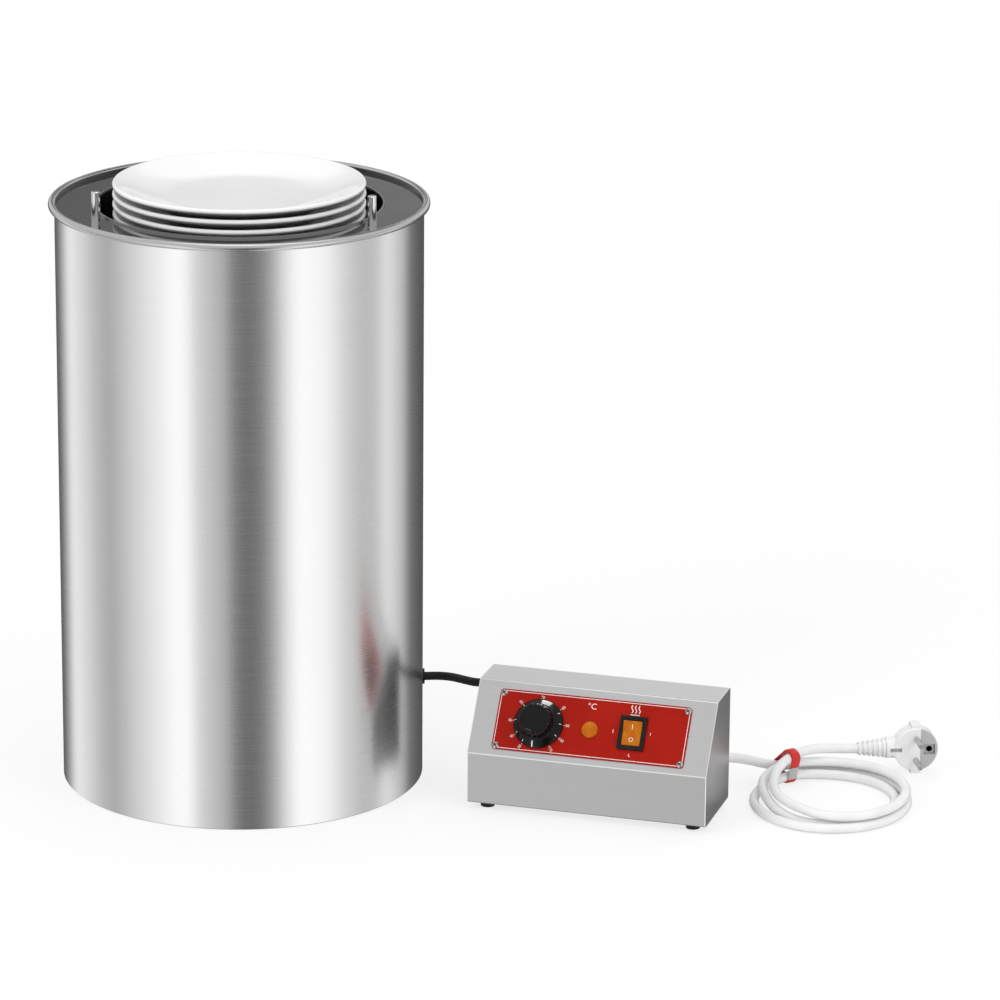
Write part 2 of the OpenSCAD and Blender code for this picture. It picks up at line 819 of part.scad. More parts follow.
// A grommet through a wall of thickness t, its outer lip on z = 0 and its nose towards +z
module grommet(t) {
    difference() {
        union() {
            cylinder(d = grommet_lip_d, h = grommet_lip_t);
            translate([0, 0, -t - slip]) cylinder(d = grommet_neck_d, h = t + grommet_lip_t);
            translate([0, 0, -t - grommet_lip_t - slip]) cylinder(d = grommet_lip_d, h = grommet_lip_t);
        }
        translate([0, 0, -t - grommet_lip_t - cut]) cylinder(d = link_d + 2 * slip, h = t + 4);
    }
}

module drum_grommet() {
    color(black) rotate([0, 0, drum_exit_a]) translate([drum_r + slip, 0, drum_exit_z])
        rotate([0, 90, 0]) grommet(sheet_t + 3 * slip);
}

module box_grommet() {
    color(black) translate([box_left, box_entry_y, box_entry_z]) rotate([0, -90, 0]) grommet(box_t);
}

module link_cable() {
    color(black) cord_tube(link_route, link_d);
}

// ---------- control box ----------

box_profile = [
    [box_back, box_base_z], [box_back, box_h], [box_back - box_top_depth, box_h],
    [box_front, bend_h], [box_front, box_base_z]];

module along_x(x, w, outline) {
    translate([x, 0, 0]) rotate([90, 0, 90]) linear_extrude(w) polygon(outline);
}

// Places children on the sloped panel
module on_slope(u, v, w = 0) {
    translate([box_left, box_front, bend_h]) rotate([panel_tilt, 0, 0])
        translate([u, v, w]) children();
}

module panel_screw_places() {
    for (u = [panel_u + panel_screw_in, panel_u + panel_w - panel_screw_in],
         v = [panel_v + panel_screw_in, panel_v + panel_h - panel_screw_in])
        on_slope(u, v) children();
}

// Every hole that goes through the sloped sheet and the red panel
module control_holes() {
    on_slope(dial_u, dial_v, -4) cylinder(d = bushing_d + 4 * slip, h = 8);
    for (s = [-1, 1])
        on_slope(dial_u + s * thermostat_screw_u, dial_v, -4) cylinder(d = 4.2, h = 8);
    on_slope(lamp_u, lamp_v, -4) cylinder(d = lamp_neck_d + 2 * slip, h = 8);
    on_slope(switch_u - collar_w / 2 - slip, switch_v - collar_h / 2 - slip, -4)
        cube([collar_w + 2 * slip, collar_h + 2 * slip, 8]);
    panel_screw_places() translate([0, 0, -4]) cylinder(d = panel_screw_d + 2 * slip, h = 8);
}

module foot_places(z = 0) {
    for (x = [box_left + foot_inset_x, box_left + box_w - foot_inset_x],
         y = [box_front + foot_inset_y, box_back - foot_inset_y])
        translate([x, y, z]) children();
}

module box_housing() {
    recess_h = box_plate_t + box_plate_gap;
    color(steel) difference() {
        along_x(box_left, box_w, rounded(box_profile, fold_r));
        along_x(box_left + box_t, box_w - 2 * box_t,
            rounded(inset([for (p = box_profile)
                [p[0], p[1] == box_base_z ? box_base_z + recess_h : p[1]]], box_t), fold_r - box_t));
        translate([box_left + box_t, box_front + box_t, box_base_z - cut])
            cube([box_w - 2 * box_t, box_depth - 2 * box_t, recess_h + cut]);
        translate([box_left + box_flange_w, box_front + box_flange_w, box_base_z])
            cube([box_w - 2 * box_flange_w, box_depth - 2 * box_flange_w, 2 * recess_h + box_t]);
        foot_places(box_base_z) cylinder(d = foot_screw_d + 2 * slip, h = 3 * recess_h);
        control_holes();
        translate([box_left - cut, box_entry_y, box_entry_z]) rotate([0, 90, 0])
            cylinder(d = grommet_neck_d + 2 * slip, h = box_t + 2 * cut);
        translate([mains_exit_x, box_back + cut, mains_exit_z]) rotate([90, 0, 0])
            cylinder(d = relief_neck_d + 2 * slip, h = box_t + 2 * cut);
    }
}

module box_base() {
    color(steel) difference() {
        translate([box_left + box_t + slip, box_front + box_t + slip, box_base_z])
            cube([box_w - 2 * box_t - 2 * slip, box_depth - 2 * box_t - 2 * slip, box_plate_t]);
        foot_places(box_base_z - cut) cylinder(d = foot_screw_d + 2 * slip, h = box_plate_t + 2 * cut);
    }
}

module box_feet() {
    color(black) foot_places() difference() {
        cylinder(d1 = foot_d - 1.5, d2 = foot_d, h = foot_h);
        translate([0, 0, -cut]) cylinder(d = foot_screw_d + 2 * slip, h = foot_h + 2 * cut);
        translate([0, 0, -cut]) cylinder(d = foot_bore_d, h = foot_h - foot_web_t + cut);
    }
}

// The stack that a foot screw clamps: foot web, base plate and flange
foot_screw_low = foot_h - foot_web_t;
foot_nut_z = box_base_z + box_plate_t + box_plate_gap + box_t;

module foot_screws() {
    color(bright_steel) foot_places() {
        translate([0, 0, foot_screw_low - 2.4]) cylinder(d = foot_bore_d - 0.6, h = 2.4);
        translate([0, 0, foot_screw_low]) cylinder(d = foot_screw_d, h = foot_nut_z + 5 - foot_screw_low);
    }
}

module foot_nuts() {
    color(bright_steel) foot_places(foot_nut_z) hex_nut(base_nut_af, 3.2, foot_screw_d + 2 * run);
}

module front_panel() {
    color(panel_red) difference() {
        on_slope(panel_u, panel_v) rounded_plate(panel_w, panel_h, panel_t, panel_corner_r);
        control_holes();
    }
}

module panel_screws() {
    head_d = 5.6;
    head_h = 1.5;
    slot_l = 3.4;
    slot_t = 0.8;
    color(bright_steel) panel_screw_places() translate([0, 0, panel_t]) {
        difference() {
            intersection() {
                cylinder(d = head_d, h = head_h);
                translate([0, 0, head_h - 3.6]) sphere(r = 3.6);
            }
            for (a = [45, 135]) rotate([0, 0, a])
                translate([-slot_l / 2, -slot_t / 2, head_h - 0.8]) cube([slot_l, slot_t, 1]);
        }
        translate([0, 0, -8]) cylinder(d = panel_screw_d, h = 8);
    }
}

// ---------- dial ----------

module thermostat() {
    color("silver") difference() {
        union() {
            on_slope(dial_u - thermostat_w / 2, dial_v - thermostat_w / 2,
                     -box_t - seat_gap - thermostat_depth)
                cube([thermostat_w, thermostat_w, thermostat_depth]);
            on_slope(dial_u, dial_v, -box_t - 1)
                cylinder(d = bushing_d, h = box_t + 1 + panel_t + bushing_h);
        }
        on_slope(dial_u, dial_v, shaft_low_w - 0.5) cylinder(d = shaft_d + 2 * run, h = 20);
        for (s = [-1, 1]) on_slope(dial_u + s * thermostat_screw_u, dial_v, -box_t - 7)
            cylinder(d = 4.1, h = 8);
    }
}

module thermostat_screws() {
    color(bright_steel) for (s = [-1, 1])
        on_slope(dial_u + s * thermostat_screw_u, dial_v, panel_t) {
            cylinder(d = 7, h = 1.8);
            translate([0, 0, -7]) cylinder(d = 4, h = 7);
        }
}

module dial_shaft() {
    flat = 0.8;
    color(bright_steel) difference() {
        on_slope(dial_u, dial_v, shaft_low_w) cylinder(d = shaft_d, h = 10 + panel_t - shaft_low_w);
        on_slope(dial_u - shaft_d, dial_v + shaft_d / 2 - flat, panel_t + 4.5)
            cube([2 * shaft_d, 2, 8]);
    }
}

module dial_knob() {
    low = panel_t + dial_gap;
    skirt_r = dial_d / 2;
    grip_r = grip_d / 2;
    color(black) difference() {
        on_slope(dial_u, dial_v, low) rotate_extrude() polygon([
            [0, 0], [skirt_r, 0], [skirt_r, skirt_edge_h], [grip_r + 2, skirt_h],
            [grip_r + 0.5, skirt_h + 0.8], [grip_r, dial_h - 2.2], [grip_r - 1.2, dial_h - dial_gap],
            [0, dial_h - dial_gap]]);
        on_slope(dial_u, dial_v, low - cut) ring(skirt_r - 2.4, bushing_d / 2 + 3, 2.9 + cut);
        on_slope(dial_u, dial_v, low - cut) cylinder(d = bushing_d + 1, h = 2.9 + cut);
        on_slope(dial_u, dial_v, low - cut) cylinder(d = shaft_d + 0.04, h = 10 - dial_gap + cut);
        on_slope(dial_u, dial_v, panel_t + dial_h - 0.8) cylinder(d = grip_d - 6.8, h = 2);
        on_slope(dial_u, dial_v, low + skirt_h + 1.6)
            polar([for (i = [0:flute_count - 1]) 360 * i / flute_count], grip_r + 0.9)
                cylinder(d = flute_d, h = dial_h, $fn = 24);
    }
}

module dial_cap() {
    color(black) on_slope(dial_u, dial_v, panel_t + dial_h - 0.8) cylinder(d = grip_d - 7, h = 1);
}

// ---------- pilot lamp ----------

module lamp_lens() {
    lens_h = 3.6;
    color(amber) on_slope(lamp_u, lamp_v, panel_t) rotate_extrude() polygon(concat(
        [[0, 0], [lamp_d / 2, 0], [lamp_d / 2, 1]],
        [for (a = [10:10:80]) [lamp_d / 2 * cos(a), 1 + (lens_h - 1) * sin(a)]],
        [[0, lens_h]]));
}

module lamp_body() {
    color("dimgray") difference() {
        on_slope(lamp_u, lamp_v, -lamp_depth) union() {
            cylinder(d = lamp_neck_d, h = lamp_depth + panel_t);
            translate([0, 0, lamp_depth - box_t - 3]) cylinder(d = 14, h = 3, $fn = 6);
        }
        on_slope(lamp_u, lamp_v, -lamp_depth - cut) cylinder(d = 6, h = 8);
    }
}

// ---------- switch ----------

rocker_hole_w = rocker_w + 2 * rocker_play;
rocker_hole_l = rocker_l + 2 * rocker_swing_play;

module rocker_hole(low, h) {
    on_slope(switch_u - rocker_hole_w / 2, switch_v - rocker_hole_l / 2, low)
        cube([rocker_hole_w, rocker_hole_l, h]);
}

// The rocker's axis, with children along it
module on_rocker_axis() {
    on_slope(switch_u, switch_v, rocker_axis_w) children();
}

module switch_frame() {
    color(black) difference() {
        union() {
            on_slope(switch_u - bezel_w / 2, switch_v - bezel_h / 2, panel_t)
                rounded_plate(bezel_w, bezel_h, bezel_t, 1);
            on_slope(switch_u - collar_w / 2, switch_v - collar_h / 2, -collar_depth)
                cube([collar_w, collar_h, collar_depth + panel_t + bezel_t / 2]);
        }
        rocker_hole(-collar_depth - cut, collar_depth + panel_t + bezel_t + 2 * cut);
        on_rocker_axis() rotate([0, 90, 0])
            cylinder(d = rocker_pin_d + 2 * run, h = collar_w + cut, center = true);
    }
}

module rocker_button() {
    half = rocker_l / 2;
    color(amber) difference() {
        on_rocker_axis() rotate([rocker_tilt, 0, 0]) translate([-rocker_w / 2, 0, 0])
            rotate([90, 0, 90]) linear_extrude(rocker_w) polygon([
                [-half, rocker_end_h], [-half, 0], [-half + 1.6, -5.5], [half - 1.6, -5.5],
                [half, 0], [half, rocker_end_h], [0, rocker_mid_h]]);
        on_rocker_axis() rotate([0, 90, 0])
            cylinder(d = rocker_pin_d + 0.04, h = rocker_w + 2 * cut, center = true);
    }
}

module rocker_pin() {
    color(bright_steel) on_rocker_axis() rotate([0, 90, 0])
        cylinder(d = rocker_pin_d, h = rocker_pin_l, center = true);
}

module switch_body() {
    color(black) difference() {
        on_slope(switch_u - collar_w / 2, switch_v - collar_h / 2, -switch_depth)
            cube([collar_w, collar_h, switch_depth - collar_depth]);
        rocker_hole(-collar_depth - 5, 5 + cut);
    }
}

module switch_terminals() {
    color("goldenrod") for (s = [-1, 0, 1])
        on_slope(switch_u - tab_w / 2, switch_v + s * tab_step - tab_t / 2, -switch_depth - tab_l)
            cube([tab_w, tab_t, tab_l]);
}

module terminal_block() {
    block_z = box_base_z + box_plate_t;
    block_x = box_left + box_w - block_right_in - block_l;
    block_y = box_back - block_back_in - block_w;
    color("ivory") difference() {
        translate([block_x, block_y, block_z]) cube([block_l, block_w, block_h]);
        for (i = [0:block_ways - 1])
            translate([block_x + (i + 0.5) * block_l / block_ways, block_y + block_w / 2,
                       block_z + block_h / 2])
                cylinder(d = block_bore_d, h = block_h);
    }
}

// ---------- mains cord ----------

module mains_relief() {
    lip_t = 2;
    color("gainsboro") translate([mains_exit_x, box_back, mains_exit_z]) rotate([-90, 0, 0])
        difference() {
            union() {
                cylinder(d = relief_flange_d, h = lip_t);
                cylinder(r1 = mains_r + 2.4, r2 = mains_r + 1.2, h = relief_l);
                translate([0, 0, -box_t - cut]) cylinder(d = relief_neck_d, h = box_t + 2 * cut);
                translate([0, 0, -box_t - lip_t]) cylinder(d = relief_flange_d, h = lip_t);
            }
            translate([0, 0, -box_t - lip_t - cut])
                cylinder(r = mains_r + slip, h = relief_l + box_t + lip_t + 2 * cut);
        }
}

// The coil: three turns. The first lies on the floor, the second inside it, and the third
// climbs on top of the first and leaves over the others towards the plug.
function coil_radius(t) = coil_r
    + 7 * (1 - ease(t / 0.25))
    - coil_step * 1.15 * ease((t - 0.8) / 0.4)
    + coil_step * ease((t - 1.76) / 0.24)
    - coil_step * 1.75 * ease((t - 2.5) / 0.28)
    + coil_step * ease((t - 2.82) / 0.24)
    - coil_oval * cos(2 * (coil_start_a - 360 * t));
function coil_height(t) = mains_r
    + tie_lift * exp(-pow((t - round(t)) / 0.06, 2))
    + 5 * (1 - ease(t / 0.15))
    + coil_layer * ease((t - 1.66) / 0.2)
    + 3 * ease((t - 2.6) / 0.1)
    + 6 * ease((t - 2.8) / 0.2);
function coil_point(t) =
    let (a = coil_start_a - 360 * t, r = coil_radius(t))
    [coil_centre[0] + r * cos(a), coil_centre[1] + r * sin(a), coil_height(t)];
coil_turn_list = [for (i = [0:coil_last]) i / coil_rings];
coil_mid = [for (t = coil_turn_list) coil_point(t)];
// Straight ends that run out of the tie
coil_start_dir = unit(coil_mid[1] - coil_mid[0]);
coil_end_dir = unit(coil_mid[coil_last] - coil_mid[coil_last - 1]);
coil_path = concat(
    [coil_mid[0] - coil_straight * coil_start_dir], coil_mid,
    [coil_mid[coil_last] + coil_straight * coil_end_dir]);

// Least distance between stretches of the coil that are at least a third of a turn apart
coil_apart = coil_rings / 3;
coil_gap = min([for (i = [0:coil_last], j = [i + coil_apart:coil_last])
    norm(coil_mid[i] - coil_mid[j])]) - mains_d;
echo(str("least gap in the coil, mm: ", coil_gap));  // mains_coil

module mains_coil() {
    color(cord_white) tube(coil_path, mains_r, coil_sides, [for (p = coil_path) [0, 0, 1]]);
}

module mains_lead() {
    color(cord_white) cord_tube(
        concat(lead_route, [coil_path[0] - mains_r * coil_start_dir, coil_path[0]]), mains_d);
}

// Turns the plug's own frame into place: x away from the boot, z along the pins, 0 on the face
module plug_place() {
    translate([plug_centre[0], plug_centre[1], plug_z]) rotate([90, 0, plug_turn])
        translate([0, 0, -plug_neck_z]) children();
}

plug_axis = [cos(plug_turn), sin(plug_turn), 0];
boot_mouth = [plug_centre[0], plug_centre[1], plug_z] + boot_to_x * plug_axis;

module mains_tail() {
    color(cord_white) cord_tube(
        concat([coil_path[coil_last + 2], coil_path[coil_last + 2] + 3 * coil_end_dir],
            tail_route, [boot_mouth - mains_d * plug_axis, boot_mouth]), mains_d);
}

// Where each strand goes through the middle and both faces of the tie, as radius and height
tie_side = [cos(coil_start_a), sin(coil_start_a), 0];
function tie_end(i, side) =
    i == 0 && side < 0 ? coil_mid[0] - tie_w / 2 * coil_start_dir
    : i == coil_last && side > 0 ? coil_mid[i] + tie_w / 2 * coil_end_dir
    : coil_mid[i] + tie_w / 2 * unit(coil_mid[i + side] - coil_mid[i]);
tie_strands = [for (k = [0:coil_turns], side = [-1:1])
    let (p = side == 0 ? coil_mid[k * coil_rings] : tie_end(k * coil_rings, side))
    [(p - [coil_centre[0], coil_centre[1], 0]) * tie_side, p[2]]];

module tie_outline(grow) {
    hull() for (p = tie_strands) translate(p) circle(r = mains_r + grow, $fn = 32);
}

module cord_tie() {
    color("red") translate([coil_centre[0], coil_centre[1], 0]) rotate([90, 0, coil_start_a])
        linear_extrude(tie_w, center = true) difference() {
            tie_outline(tie_gap + tie_t);
            tie_outline(tie_gap);
        }
}

// ---------- plug ----------

module plug_body() {
    r = plug_d / 2;
    lug_r = r + plug_lug;
    color("white") plug_place() difference() {
        union() {
            rotate_extrude() polygon([
                [0, -plug_thick], [r - 6, -plug_thick], [r - 2, -plug_thick + 1.6],
                [r, -plug_thick + 5], [r, -0.8], [r - 0.8, 0], [0, 0]]);
            translate([-4, -lug_r, -14]) cube([8, 2 * lug_r, 13]);
            translate([0, 0, plug_neck_z]) rotate([0, -90, 0])
                cylinder(r = plug_neck_r, h = -boot_from_x);
        }
        // channel for the socket's earth spring, on the neck
        translate([boot_from_x + 2, -1.7, -3]) cube([-boot_from_x - 14, 3.4, 4]);
        // recess of the female earth contact
        translate([6.5, -4.6, -7]) cube([9.6, 9.2, 8]);
    }
}

module plug_boot() {
    rib = (boot_from_x - boot_to_x - 4) / boot_ribs;
    slope = (boot_r - boot_end_r) / (boot_from_x - boot_to_x);
    groove = 1.4;
    color("white") plug_place() translate([boot_from_x, 0, plug_neck_z]) rotate([0, -90, 0])
        rotate_extrude() polygon(concat(
            [[0, 0], [boot_r, 0]],
            [for (i = [0:boot_ribs - 1])
                let (x = 2 + i * rib, ra = boot_r - slope * x, rb = boot_r - slope * (x + rib * 0.4))
                each [[ra, x], [ra - groove, x + 0.2], [rb - groove, x + rib * 0.4 - 0.2],
                      [rb, x + rib * 0.4]]],
            [[boot_end_r, boot_from_x - boot_to_x], [0, boot_from_x - boot_to_x]]));
}

module plug_pins() {
    color(bright_steel) plug_place() for (s = [-1, 1]) translate([0, s * pin_gap / 2, 0]) {
        cylinder(d = pin_d, h = pin_l - 0.8);
        translate([0, 0, pin_l - 0.8]) cylinder(d1 = pin_d, d2 = pin_d - 1.6, h = 0.8);
    }
}

module plug_contacts() {
    color(steel) plug_place() {
        difference() {
            translate([7, -4.2, -6.9]) cube([8.6, 8.4, 5]);
            translate([11.3, 0, -6]) cylinder(d = 4.9, h = 6);
        }
        translate([boot_from_x + 2.2, -1.5, -2.9]) cube([-boot_from_x - 14.4, 3, 0.6]);
    }
}

// ---------- assembly ----------

drum_shell();
base_plate();
base_screws();
base_nuts();
top_deck();
well_tube();
locating_posts();
post_nuts();
spring_hangers();
hanger_rivets();
lift_springs();
plate_platform();
carrier_column();
carrier_spider();
carrier_rivets();
guide_shoes();
reflector_plate();
reflector_spacers();
ring_heater();
heater_bushes();
heater_clips();
overheat_cutout();
temperature_probe();
probe_clip();
plate_stack();
top_plate();
drum_grommet();
link_cable();
box_grommet();
box_housing();
box_base();
box_feet();
foot_screws();
foot_nuts();
front_panel();
panel_screws();
thermostat();
thermostat_screws();
dial_shaft();
dial_knob();
dial_cap();
lamp_lens();
lamp_body();
switch_frame();
rocker_button();
rocker_pin();
switch_body();
switch_terminals();
terminal_block();
mains_relief();
mains_lead();
mains_coil();
mains_tail();
cord_tie();
plug_body();
plug_boot();
plug_pins();
plug_contacts();
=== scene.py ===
"""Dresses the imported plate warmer: steel drum, plates, control box, cables and plug."""

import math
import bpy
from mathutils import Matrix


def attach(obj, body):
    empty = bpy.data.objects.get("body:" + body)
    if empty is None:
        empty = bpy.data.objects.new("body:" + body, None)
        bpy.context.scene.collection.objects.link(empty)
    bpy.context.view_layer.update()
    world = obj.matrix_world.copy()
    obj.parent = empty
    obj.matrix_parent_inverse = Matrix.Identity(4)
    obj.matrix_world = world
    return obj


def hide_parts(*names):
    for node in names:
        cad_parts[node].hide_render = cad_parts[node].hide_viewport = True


bl_info = {
    "name": "Plate Warmer",
    "version": (1, 0, 0),
    "blender": (4, 5, 0),
    "location": "View3D > Sidebar > Plate Warmer",
    "description": "Builds the visible pieces of a plate warmer on its CAD frame",
    "category": "Object",
}

import bmesh
import bpy
import numpy as np
from bpy.props import FloatProperty, IntProperty, PointerProperty, StringProperty
from mathutils import Matrix

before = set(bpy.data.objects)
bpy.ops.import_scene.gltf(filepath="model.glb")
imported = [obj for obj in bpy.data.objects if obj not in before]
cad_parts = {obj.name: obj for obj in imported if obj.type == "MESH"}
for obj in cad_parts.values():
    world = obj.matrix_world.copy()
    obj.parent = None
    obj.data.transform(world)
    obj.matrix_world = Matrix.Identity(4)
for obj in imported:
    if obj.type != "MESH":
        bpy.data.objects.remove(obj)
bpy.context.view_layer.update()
MM = 0.001
TURN = 2 * math.pi
# The middle stretch of a noise, where most of its values lie
NOISE_LOW, NOISE_HIGH = 0.3, 0.7


# ---------- shader maths ----------


class Value:
    """A number that a node gives, with the sums that materials need."""

    def __init__(self, recipe, socket):
        self.recipe, self.socket = recipe, socket

    def _math(self, operation, a, b):
        return self.recipe.node("ShaderNodeMath", {"operation": operation}, {0: a, 1: b})

    def __add__(self, other):
        return self._math("ADD", self, other)

    def __mul__(self, other):
        return self._math("MULTIPLY", self, other)

    def __sub__(self, other):
        return self._math("SUBTRACT", self, other)

    def __rsub__(self, other):
        return self._math("SUBTRACT", other, self)

    def __gt__(self, other):
        return self._math("GREATER_THAN", self, other)

    __radd__ = __add__
    __rmul__ = __mul__


def rgba(colour):
    """Colour of one grey level, or of three or four numbers, with its alpha."""
    if isinstance(colour, (int, float)):
        colour = (colour,) * 3
    return (*colour, 1.0) if len(colour) == 3 else colour


class Recipe:
    """Nodes of one material or of the world."""

    def __init__(self, tree, output="ShaderNodeOutputMaterial"):
        self.tree = tree
        tree.nodes.clear()
        self.output = tree.nodes.new(output)

    def node(self, kind, settings=None, sockets=None, out=0):
        """Adds a node, sets it up, fills its sockets, and gives its output as a Value."""
        made = self.tree.nodes.new(kind)
        for key, value in (settings or {}).items():
            if key == "stops":
                ramp = made.color_ramp
                ramp.elements.remove(ramp.elements[-1])
                ramp.elements[0].position = value[0][0]
                for place, _ in value[1:]:
                    ramp.elements.new(place)
                for element, (_, colour) in zip(ramp.elements, value):
                    element.color = rgba(colour)
            elif key == "interpolation":
                made.color_ramp.interpolation = value
            else:
                setattr(made, key, value)
        for key, value in (sockets or {}).items():
            if isinstance(value, Value):
                self.tree.links.new(value.socket, made.inputs[key])
            else:
                made.inputs[key].default_value = value
        return Value(self, made.outputs[out])

    def surface(self, shader):
        self.tree.links.new(shader.socket, self.output.inputs["Surface"])

    def noise(self, grain, detail=2.0, roughness=0.5):
        """Noise on Object coordinates. Its grain is one number, or one for each axis."""
        where = self.node("ShaderNodeTexCoord", out="Object")
        scale = grain if isinstance(grain, tuple) else (grain,) * 3
        drawn = self.node("ShaderNodeMapping", sockets={"Vector": where, "Scale": scale})
        return self.node(
            "ShaderNodeTexNoise",
            sockets={"Vector": drawn, "Scale": 1.0, "Detail": detail, "Roughness": roughness},
        )

    def spread(self, value, low, high, to_low=0.0, to_high=1.0):
        """A value between two limits, moved to between two other limits."""
        return self.node("ShaderNodeMapRange", sockets={0: value, 1: low, 2: high, 3: to_low, 4: to_high})

    def gloss(self, noise, low, high):
        """Roughness that a noise moves between two limits."""
        return self.spread(noise, NOISE_LOW, NOISE_HIGH, low, high)

    def blend(self, share, *colours, parts=()):
        """A colour between two colours. Each of parts is (share, colour) of a place with another tone."""
        first, second = [c if isinstance(c, Value) else rgba(c) for c in colours]
        mixed = self.node("ShaderNodeMix", {"data_type": "RGBA"}, {0: share, 6: first, 7: second}, out=2)
        for place, other in parts:
            mixed = self.blend(place, mixed, other)
        return mixed

    def mix(self, share, first, second):
        """A shader between two shaders."""
        return self.node("ShaderNodeMixShader", sockets={0: share, 1: first, 2: second})

    def by_ray(self, plain, mirrored, seen):
        """One shader for plain light, one for what glossy surfaces mirror, one for the camera."""
        mirror = self.node("ShaderNodeLightPath", out="Is Glossy Ray")
        camera = self.node("ShaderNodeLightPath", out="Is Camera Ray")
        return self.mix(camera, self.mix(mirror, plain, mirrored), seen)

    def bump(self, height, strength, distance):
        return self.node(
            "ShaderNodeBump", sockets={"Height": height, "Strength": strength, "Distance": distance}
        )

    def axes(self):
        """Object X, Y and Z as three Values."""
        where = self.node("ShaderNodeTexCoord", out="Object")
        split = self.tree.nodes.new("ShaderNodeSeparateXYZ")
        self.tree.links.new(where.socket, split.inputs[0])
        return [Value(self, split.outputs[i]) for i in range(3)]

    def along(self, point, way):
        """How far each place lies past a point, in a direction, in millimetres."""
        x, y, z = self.axes()
        return (x * way[0] + y * way[1] + z * way[2]) * (1 / MM) - float(np.dot(point, way))

    def near(self, point, first, second, reach):
        """1 within a distance of the line through a point that is square to two directions."""
        a, b = self.along(point, first), self.along(point, second)
        return 1 - ((a * a + b * b) > reach * reach)


FINISHES = {}


def finish_called(name):
    """Decorator: the function fills a Recipe, and the material is made once, on first use."""

    def keep(fill):
        def make():
            if name not in FINISHES:
                material = bpy.data.materials.new(name)
                material.use_nodes = True
                recipe = Recipe(material.node_tree)
                recipe.surface(fill(recipe))
                FINISHES[name] = material
            return FINISHES[name]

        return make

    return keep


def principled(recipe, **sockets):
    names = {key.replace("_", " "): value for key, value in sockets.items()}
    return recipe.node("ShaderNodeBsdfPrincipled", sockets=names)


def settings(name):
    return getattr(bpy.context.scene, "plate_warmer_" + name)


# ---------- finishes ----------


def brushed(recipe, stretch, low, high, rough, depth, parts=(), **more):
    """Sheet steel with fine brush lines: noise drawn out along one axis, in colour, gloss and bump."""
    lines = recipe.noise(stretch, 3.0, 0.6)
    cloud = recipe.noise(9)
    tone = recipe.spread(lines * 0.75 + cloud * 0.25, NOISE_LOW, NOISE_HIGH)
    return principled(
        recipe,
        Base_Color=recipe.blend(tone, low, high, parts=parts),
        Roughness=recipe.gloss(lines, rough - 0.02, rough + 0.02),
        Metallic=1.0,
        Normal=recipe.bump(lines, 0.15, depth),
        **more,
    )


def rubbed(recipe, noise, low, high, rough, parts=(), **more):
    """A surface whose colour and gloss follow one noise."""
    return principled(
        recipe,
        Base_Color=recipe.blend(noise, low, high, parts=parts),
        Roughness=recipe.gloss(noise, *rough),
        **more,
    )


@finish_called("drum steel")
def drum_steel(recipe):
    # Painted shade: the inner wall above the deck is painted near black
    inner_wall_shade = recipe.near((0, 0, 0), (1, 0, 0), (0, 1, 0), DRUM_R - 0.6)
    # Painted shade: the rolled bead is painted a darker grey than the wall, for its darker reflection
    bead = recipe.along((0, 0, DRUM_TOP - 2 * BEAD_R - 0.4), (0, 0, 1)) > 0
    return brushed(
        recipe, (14, 14, 1500), 0.74, (0.785, 0.785, 0.78), 0.26, 0.000008,
        parts=[(bead, 0.56), (inner_wall_shade, 0.10)], Anisotropic=0.55, Anisotropic_Rotation=0.25,
    )


@finish_called("screw steel")
def screw_steel(recipe):
    """Bright heads, with painted shade near black in their cross slots."""
    # Painted shade: the bottoms of the cross slots are painted near black
    slot_shade = 0
    for u in (SCREW_IN, PANEL_W - SCREW_IN):
        for v in (SCREW_IN, PANEL_H - SCREW_IN):
            middle = on_slope((0, 0, 0), PANEL_U + u, PANEL_V + v)
            slot_shade = slot_shade + recipe.near(middle, SLOPE_AXES[:, 0], SLOPE_AXES[:, 1], SLOT_R)
    deep = PANEL_T + SLOT_Z - recipe.along(on_slope((0, 0, 0)), SLOPE_AXES[:, 2]) > 0
    rub = recipe.noise(300, 3.0)
    return rubbed(recipe, rub, 0.44, 0.60, (0.16, 0.26), [(slot_shade * deep, 0.01)], Metallic=1.0)


@finish_called("deck steel")
def deck_steel(recipe):
    return rubbed(recipe, recipe.noise(16, 3.0), 0.27, 0.35, (0.07, 0.13), Metallic=1.0)


@finish_called("well steel")
def well_steel(recipe):
    # Painted shade: the tube below its lip is painted near black, for the shade down the well; the lip keeps
    # a steel grey
    lip = recipe.axes()[2] > WELL_LIP_Z * MM
    lines = recipe.noise((20, 20, 400), 3.0)
    return rubbed(recipe, lines, 0.012, 0.03, (0.28, 0.36), [(lip, 0.42)], Metallic=1.0)


@finish_called("plain steel")
def plain_steel(recipe):
    return brushed(recipe, (30, 600, 30), 0.50, (0.64, 0.64, 0.635), 0.34, 0.00002)


@finish_called("polished steel")
def polished_steel(recipe):
    rub = recipe.noise(300, 3.0)
    scratches = recipe.bump(rub, 0.08, 0.00002)
    return rubbed(recipe, rub, 0.68, 0.82, (0.12, 0.22), Metallic=1.0, Normal=scratches)


@finish_called("spring steel")
def spring_steel(recipe):
    return rubbed(recipe, recipe.noise(200), 0.42, 0.56, (0.22, 0.34), Metallic=1.0)


